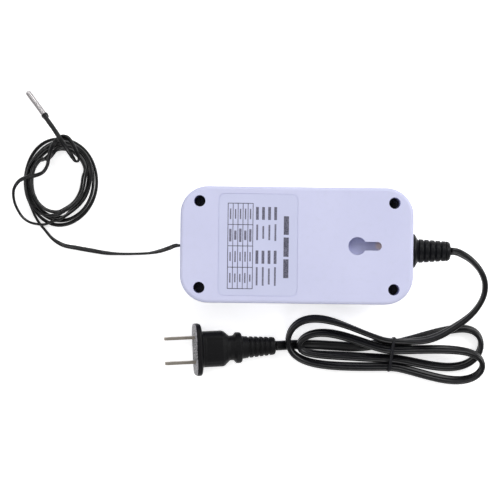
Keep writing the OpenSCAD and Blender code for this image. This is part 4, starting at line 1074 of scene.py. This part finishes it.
# %% Finishes of what is inside
LIT = linear(226, 40, 30)
finishes.update({
    "control_board": board,
    "board_screws": metal("zinc_screw", linear(196, 197, 200)),
    "tact_switches": moulded("switch_body", linear(44, 44, 48), 0.5),
    "plunger_up": moulded("plunger_black", linear(32, 32, 34), 0.5),
    "display_module": moulded("display_black", linear(22, 22, 24), 0.35),
    "display_segments": moulded("lit_segment", LIT, 0.3, Emission_Color=LIT,
                                Emission_Strength=0.25),
    "indicator_leds": moulded("lamp_lens", linear(206, 40, 34), 0.18),
    "microcontroller": moulded("chip_resin", linear(30, 30, 33), 0.55),
    "relay": moulded("relay_case", linear(34, 82, 168), 0.35),
    "relay_pins": metal("tinned_pin", linear(186, 187, 190), 0.35),
    "supply_capacitor": moulded("film_capacitor", linear(214, 168, 30), 0.38),
    "electrolytic_capacitors": moulded("can_sleeve", linear(28, 30, 46), 0.32),
    "bridge_rectifier": moulded("bridge_resin", linear(26, 26, 29), 0.5),
    "voltage_regulator": moulded("regulator_resin", linear(30, 30, 32), 0.55),
    "varistor": moulded("varistor_coat", linear(36, 84, 176), 0.3),
    "fuse_tube": tinted_pane("fuse_glass", linear(224, 232, 230)),
    "fuse_caps": metal("nickel_cap", linear(200, 198, 190), 0.28),
    "sensor_header": moulded("header_nylon", linear(228, 224, 208), 0.5),
    "sensor_connector": moulded("connector_nylon", linear(236, 233, 220), 0.5),
    "sensor_inner_lead": vinyl("inner_sheath", linear(30, 30, 32)),
    "sensor_cable_tie": moulded("white_tie", linear(226, 226, 220)),
    "contact_retainer": moulded("retainer_black", linear(28, 28, 31), 0.5),
    "socket_contact_live": brass,
    "retainer_screws": metal("small_screw", linear(190, 191, 194)),
    "socket_screws": metal("socket_screw", linear(190, 191, 194)),
    "mains_wire_live": vinyl("brown_wire", linear(112, 66, 36)),
    "mains_wire_neutral": vinyl("blue_wire", linear(36, 84, 158)),
    "thermistor_bead": moulded("bead_epoxy", linear(40, 40, 44), 0.4),
    "probe_potting": moulded("potting_epoxy", linear(52, 52, 56), 0.4),
})
# These are made of the same stuff as their neighbours
for name, like in (("socket_contact_neutral", "socket_contact_live"),
                   ("output_wire_live", "mains_wire_live"),
                   ("output_wire_neutral", "mains_wire_neutral"),
                   ("plunger_set", "plunger_up"), ("plunger_down", "plunger_up"),
                   ("button_set", "button_up"), ("button_down", "button_up")):
    finishes[name] = finishes[like]
print("finishes in all:", len(finishes))

# %% Dressing nodes and pieces
def dress(piece, material):
    """Gives a piece or a node one material, in place of any it had."""
    piece.data.materials.clear()
    piece.data.materials.append(material)


for name, node in nodes.items():
    if name in finishes:
        dress(node, finishes[name])
for piece, name in ((relief, "strain_relief"), (plug, "plug_body"), (plug_face, "plug_core"),
                    (tie, "cord_tie"), (sleeve, "probe_sleeve")):
    dress(piece, finishes[name])
print("left to the cords:", sorted(set(nodes) - set(finishes)))

# %% [markdown]
# ## Cord vinyl
#
# The sheath of a cord is extruded, so its faint marks run lengthwise. On Object coordinates they
# would all run one way and cut across the bends. The tube's own UV map holds the distance along
# the cord, so noise stretched on that map follows every turn.

# %% Cord vinyl
def sheath(name, colour):
    """Extruded vinyl: long faint streaks under a fine skin with some dust."""
    finish = Finish(name)
    along = finish.node("ShaderNodeUVMap", {"uv_map": "sheath"})
    streaks = finish.noise(9, 4, finish.stretched((0.35, 6, 1), place=along), 0.6)
    skin = finish.noise(1500, 3)
    dusty = [c * 1.55 + 0.004 for c in colour[:3]] + [1]
    body = finish.blend(skin.fade(0.5, 0.75) * 0.5, colour, dusty)
    gloss = 0.23 + 0.07 * streaks + 0.04 * skin
    under = finish.bump(streaks, 0.015 * MM)
    return finish.shade(body, gloss, finish.bump(skin, 0.003 * MM, 1.0, under),
                        Specular_IOR_Level=0.36)


dress(mains_cord, sheath("mains_sheath", linear(9, 9, 12)))
dress(sensor_cord, sheath("sensor_sheath", linear(11, 11, 13)))
print("cords dressed with", mains_cord.active_material.name, "and",
      sensor_cord.active_material.name)

# %% [markdown]
# ## The label's print
#
# A rating label has a ruled table and lines of small text. Here it has rules and plain marks, and
# nothing on it can be read. Each mark could be a face drawn by hand, but rules and marks repeat, so
# Geometry Nodes place them: a line of points with a thin block of ink on each, some shorter than
# others by a fixed seed. The tree's inputs have names, and each row sets its own values by the
# inputs' identifiers. The result becomes a plain mesh before the frame sees it.

# %% A node group for rows of marks
ROW_INPUTS = (("Count", "Int"), ("Start", "Vector"), ("Step", "Vector"), ("Mark Size", "Vector"),
              ("Least Length", "Float"), ("Seed", "Int"), ("Ink", "Material"))


def rows_of_marks():
    """The tree, and the identifier of each named input."""
    tree = bpy.data.node_groups.new("rows_of_marks", "GeometryNodeTree")
    tree.interface.new_socket(name="Geometry", in_out="INPUT", socket_type="NodeSocketGeometry")
    sockets = {name: tree.interface.new_socket(name=name, in_out="INPUT",
                                               socket_type="NodeSocket" + kind).identifier
               for name, kind in ROW_INPUTS}
    tree.interface.new_socket(name="Geometry", in_out="OUTPUT", socket_type="NodeSocketGeometry")
    graph = Graph(tree)
    given = {name: graph.node("NodeGroupInput", {}, [], name) for name in sockets}
    line = graph.node("GeometryNodeMeshLine", {"mode": "OFFSET"}, {
        "Count": given["Count"], "Start Location": given["Start"], "Offset": given["Step"]})
    block = graph.node("GeometryNodeMeshCube", {}, {"Size": given["Mark Size"]})
    # Sockets 2 and 3 are the lowest and highest number, and output 1 is the number drawn
    shorter = graph.node("FunctionNodeRandomValue", {"data_type": "FLOAT"},
                         {2: given["Least Length"], 3: 1.0, "Seed": given["Seed"]}, 1)
    scale = graph.node("ShaderNodeCombineXYZ", {}, [1.0, shorter, 1.0])
    marks = graph.node("GeometryNodeInstanceOnPoints", {}, {
        "Points": line, "Instance": block, "Scale": scale})
    solid = graph.node("GeometryNodeRealizeInstances", {}, [marks])
    inked = graph.node("GeometryNodeSetMaterial", {}, {"Geometry": solid, "Material": given["Ink"]})
    graph.node("NodeGroupOutput", {}, [inked])
    return tree, sockets


mark_tree, mark_sockets = rows_of_marks()
print("mark inputs:", list(mark_sockets))

# %% Printing rows of marks
def ink(name, colour):
    """Screen printed ink: thin in places, and slightly glossier than the film."""
    finish = Finish(name)
    thin = finish.noise(1600, 4, None, 0.7)
    body = finish.blend(thin.fade(0.4, 0.75) * 0.3, colour, linear(202, 205, 233))
    return finish.shade(body, 0.42 + 0.1 * thin, finish.bump(thin, 0.004 * MM))


def print_rows(name, rows, material):
    """One mesh from all the rows, each of them (count, start, step, size, least length, seed)."""
    joined = bmesh.new()
    for row in rows:
        carrier = add_object(name + "_row", bpy.data.meshes.new(name + "_row"))
        modifier = carrier.modifiers.new("marks", "NODES")
        modifier.node_group = mark_tree
        for socket, value in zip(mark_sockets.values(), row + (material,)):
            modifier[socket] = value
        solved = carrier.evaluated_get(bpy.context.evaluated_depsgraph_get())
        part = bpy.data.meshes.new_from_object(solved)
        joined.from_mesh(part)
        bpy.data.objects.remove(carrier)
        bpy.data.meshes.remove(part)
    mesh = bpy.data.meshes.new(name)
    joined.to_mesh(mesh)
    joined.free()
    mesh.materials.append(material)
    return add_object(name, mesh)


print("each row is", len(ROW_INPUTS) - 1, "values and the ink")

# %% The table and the lines of text
INK_TALL = 0.035
INK_Z = 30.955
RULE = 0.36
TABLE_LEFT, TABLE_TOP = -34.9, 20.9
COLUMNS, ROWS = 5, 4
COLUMN, ROW = 2.52, 10.78
TEXT_LINES = 4
TEXT_X, TEXT_STEP = -20.1, 3.07
HEADING_X, HEADING_Y, HEADING_STEP = -5.4, 9.9, 10.9
# Width and length of a mark in the table's cells, and in the second cell, which is fuller
CELL_MARK, FULL_MARK = (0.7, 5.6), (1.15, 7.2)


def row_of(count, x, y, step, size, least=1.0, seed=0):
    """The values of one row of marks; its first mark has its middle at x, y."""
    return (count, in_metres(x, y, INK_Z), in_metres(*step, 0), in_metres(*size, INK_TALL),
            least, seed)


def text_row(y, size, least, seed):
    """A row across the lines of text, with one mark on each line."""
    return row_of(TEXT_LINES, TEXT_X, y, (TEXT_STEP, 0), size, least, seed)


rules = [row_of(COLUMNS + 1, TABLE_LEFT, TABLE_TOP - ROWS / 2 * ROW, (COLUMN, 0),
                (RULE, ROWS * ROW + RULE)),
         row_of(ROWS + 1, TABLE_LEFT + COLUMNS / 2 * COLUMN, TABLE_TOP, (0, -ROW),
                (COLUMNS * COLUMN + RULE, RULE))]
cells = [row_of(COLUMNS, TABLE_LEFT + COLUMN / 2, TABLE_TOP - (k + 0.5) * ROW, (COLUMN, 0),
                FULL_MARK if k == 1 else CELL_MARK, 0.6, 3 + k) for k in range(ROWS)]
lines = [text_row(15.9, (1.4, 6.6), 0.96, 11), text_row(-6.2, (1.4, 6.8), 0.96, 12)]
notes = [text_row(6.3, (0.9, 8.6), 0.7, 13), text_row(-15.9, (0.9, 9.6), 0.7, 14)]
heading = [row_of(3, HEADING_X, HEADING_Y, (0, -HEADING_STEP), (2.6, 9.9), 0.94, 15)]

label_prints = [
    print_rows("label_rules", rules, ink("rule_ink", linear(62, 60, 76))),
    print_rows("label_cells", cells + notes, ink("note_ink", linear(98, 96, 114))),
    print_rows("label_lines", lines, ink("line_ink", linear(82, 80, 97))),
    print_rows("label_heading", heading, ink("heading_ink", linear(66, 64, 80)))]
for piece in label_prints:
    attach(piece, "housing")
print("label print:", sum(len(piece.data.polygons) for piece in label_prints), "faces")

# %% [markdown]
# ## The face's print
#
# The face is hidden in the photograph. Such a face has thin printed outlines round the window and
# the lamps, and a sign beside each key: a ring for set, an arrow each for more and less. Curves
# made into meshes could draw them. They are closed bands and patches of ink, so a few lines of
# mesh code raise them straight from their outlines.

# %% Bands and patches of ink
FACE_INK_Z = (0.115, 0.16)


def rounded_outline(centre, size, radius, steps=8):
    """Points round a rectangle with rounded corners, counterclockwise."""
    points = []
    for quarter, (sx, sy) in enumerate(((1, 1), (-1, 1), (-1, -1), (1, -1))):
        for k in range(steps + 1):
            a = math.pi / 2 * (quarter + k / steps)
            points.append((centre[0] + sx * (size[0] / 2 - radius) + radius * math.cos(a),
                           centre[1] + sy * (size[1] / 2 - radius) + radius * math.sin(a)))
    return points


def ink_band(work, centre, size, radius, line):
    """A closed band of ink between an outline and a smaller one."""
    outer = rounded_outline(centre, size, radius)
    inner = rounded_outline(centre, (size[0] - 2 * line, size[1] - 2 * line), radius - line)
    low, high = FACE_INK_Z
    rings = [[work.verts.new(in_metres(x, y, z)) for x, y in loop]
             for loop, z in ((outer, low), (outer, high), (inner, high), (inner, low))]
    for one, other in zip(rings, rings[1:] + rings[:1]):
        for k in range(len(outer)):
            n = (k + 1) % len(outer)
            work.faces.new((one[k], one[n], other[n], other[k]))


def ink_patch(work, points):
    """A filled patch of ink with that outline."""
    low, high = ([work.verts.new(in_metres(x, y, z)) for x, y in points] for z in FACE_INK_Z)
    work.faces.new(low[::-1])
    work.faces.new(high)
    for k in range(len(points)):
        n = (k + 1) % len(points)
        work.faces.new((low[k], low[n], high[n], high[k]))


print("points round an outline:", len(rounded_outline((0, 0), (10, 10), 2)))

# %% Ink on the face
WINDOW_AT = (38.5, 0)
WINDOW_FRAME = (16.9, 33.4)
LAMP_X = 27.5
LAMPS_Y = (-10, 10)
LAMP_RING = 4.2
KEY_SIGN_X = 13.0
SET_RING = 2.8
# How far an arrow's back and tip lie from its middle, and half its width
ARROW_BACK, ARROW_TIP, ARROW_HALF = 1.1, 1.3, 1.5


def key_y(name):
    """The middle of a key, across the face."""
    low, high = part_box(name)
    return (low[1] + high[1]) / 2 / MM


def face_print():
    """All the signs on the face as one mesh."""
    work = bmesh.new()
    ink_band(work, WINDOW_AT, WINDOW_FRAME, 1.6, 0.4)
    for y in LAMPS_Y:
        ink_band(work, (LAMP_X, y), (LAMP_RING, LAMP_RING), 2.09, 0.3)
    ink_band(work, (KEY_SIGN_X, key_y("button_set")), (SET_RING, SET_RING), 1.39, 0.5)
    for name, way in (("button_up", 1), ("button_down", -1)):
        y = key_y(name)
        back, tip = KEY_SIGN_X - ARROW_BACK * way, KEY_SIGN_X + ARROW_TIP * way
        ink_patch(work, [(back, y - ARROW_HALF), (tip, y), (back, y + ARROW_HALF)])
    bmesh.ops.recalc_face_normals(work, faces=work.faces)
    mesh = bpy.data.meshes.new("face_print")
    work.to_mesh(mesh)
    work.free()
    return add_object("face_print", mesh)


signs = face_print()
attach(signs, "housing")
dress(signs, ink("face_ink", linear(214, 216, 222)))
print("face print:", len(signs.data.polygons), "faces")

# %% [markdown]
# ## The floor
#
# The photograph has a plain white ground. More light would make a pale floor white, but the object
# would wash out with it. So the floor keeps its pale colour and takes the shadow, and only the rays
# that come straight from the camera, from gloss and through glass see some light added to it.

# %% The floor
FLOOR_Z = -0.07 * MM  # just below the face, because two surfaces in one plane flicker
FLOOR_HALF = 3.0      # metres
FLOOR_GLOW = 0.62


def pale_floor():
    """Matt paint, with a glow that only the camera, gloss and glass see."""
    finish = Finish("pale_floor")
    paint = finish.blend(finish.noise(3, 2), linear(238, 238, 239), linear(240, 240, 240))
    matt = finish.node("ShaderNodeBsdfDiffuse", {}, [paint])
    path = finish.node("ShaderNodeLightPath", {}).socket.node
    seen = [Signal(finish, path.outputs[kind]) for kind in
            ("Is Camera Ray", "Is Glossy Ray", "Is Transmission Ray")]
    unseen = (seen[0] + seen[1] + seen[2]).below(0.5)
    glow = finish.node("ShaderNodeEmission", {}, {"Color": (1, 1, 1, 1),
                                                  "Strength": (1 - unseen) * FLOOR_GLOW})
    both = finish.node("ShaderNodeAddShader", {}, [matt, glow])
    finish.node("ShaderNodeOutputMaterial", {}, [both])
    return finish.material


def make_floor():
    """One large face, staged so that it isn't part of the object."""
    mesh = bpy.data.meshes.new("floor")
    corners = ((-1, -1), (1, -1), (1, 1), (-1, 1))
    mesh.from_pydata([(x * FLOOR_HALF, y * FLOOR_HALF, FLOOR_Z) for x, y in corners], [],
                     [(0, 1, 2, 3)])
    floor = add_object("floor", mesh)
    dress(floor, pale_floor())


make_floor()
print("floor:", 2 * FLOOR_HALF, "m wide")

# %% [markdown]
# ## Light
#
# One lamp overhead would leave the flat back even and the cords dull. Big soft lamps stand round
# the camera's line instead, so that the back is lit evenly and the black vinyl shows long soft
# highlights. A weak white sky fills what they miss. Their powers were set by comparing the levels
# of each surface with the photograph.

# %% Light
SKY = 0.265
# Place and width in metres, power in watts
LAMPS = {
    "overhead_lamp": ((-0.35, 0.35, 1.6), 0.8, 2.85),
    "right_lamp": ((1.05, 0.45, 0.85), 0.7, 9.4),
    "left_lamp": ((-1.1, 0.25, 0.8), 0.7, 3.9),
    "far_lamp": ((0.25, 1.15, 0.85), 0.7, 5.9),
    "near_lamp": ((0.1, -1.15, 0.85), 0.7, 4.6),
}


def make_lamp(name, place, size, power):
    """A round soft lamp that looks at the origin."""
    data = bpy.data.lights.new(name, "AREA")
    data.shape = "DISK"
    data.size = size
    data.energy = power
    lamp = add_object(name, data)
    lamp.location = place
    lamp.rotation_euler = (-Vector(place)).to_track_quat("-Z", "Y").to_euler()


def make_sky(level):
    """An even white world."""
    world = bpy.data.worlds.new("studio")
    world.use_nodes = True
    world.node_tree.nodes["Background"].inputs["Color"].default_value = (1, 1, 1, 1)
    world.node_tree.nodes["Background"].inputs["Strength"].default_value = level
    bpy.context.scene.world = world


make_sky(SKY)
for name, (place, size, power) in LAMPS.items():
    make_lamp(name, place, size, power)
bpy.context.scene.view_settings.view_transform = "Standard"
print("lamps:", len(LAMPS))

# %% [markdown]
# ## The cords
#
# A free cord is a real length of something soft.

# %% The cords
print("cords declared: 2")

# %% [markdown]
# ## Sizes
#
# The visual model stays in the CAD model's box, but for the few millimetres by which the coil's
# stray loop swings out.
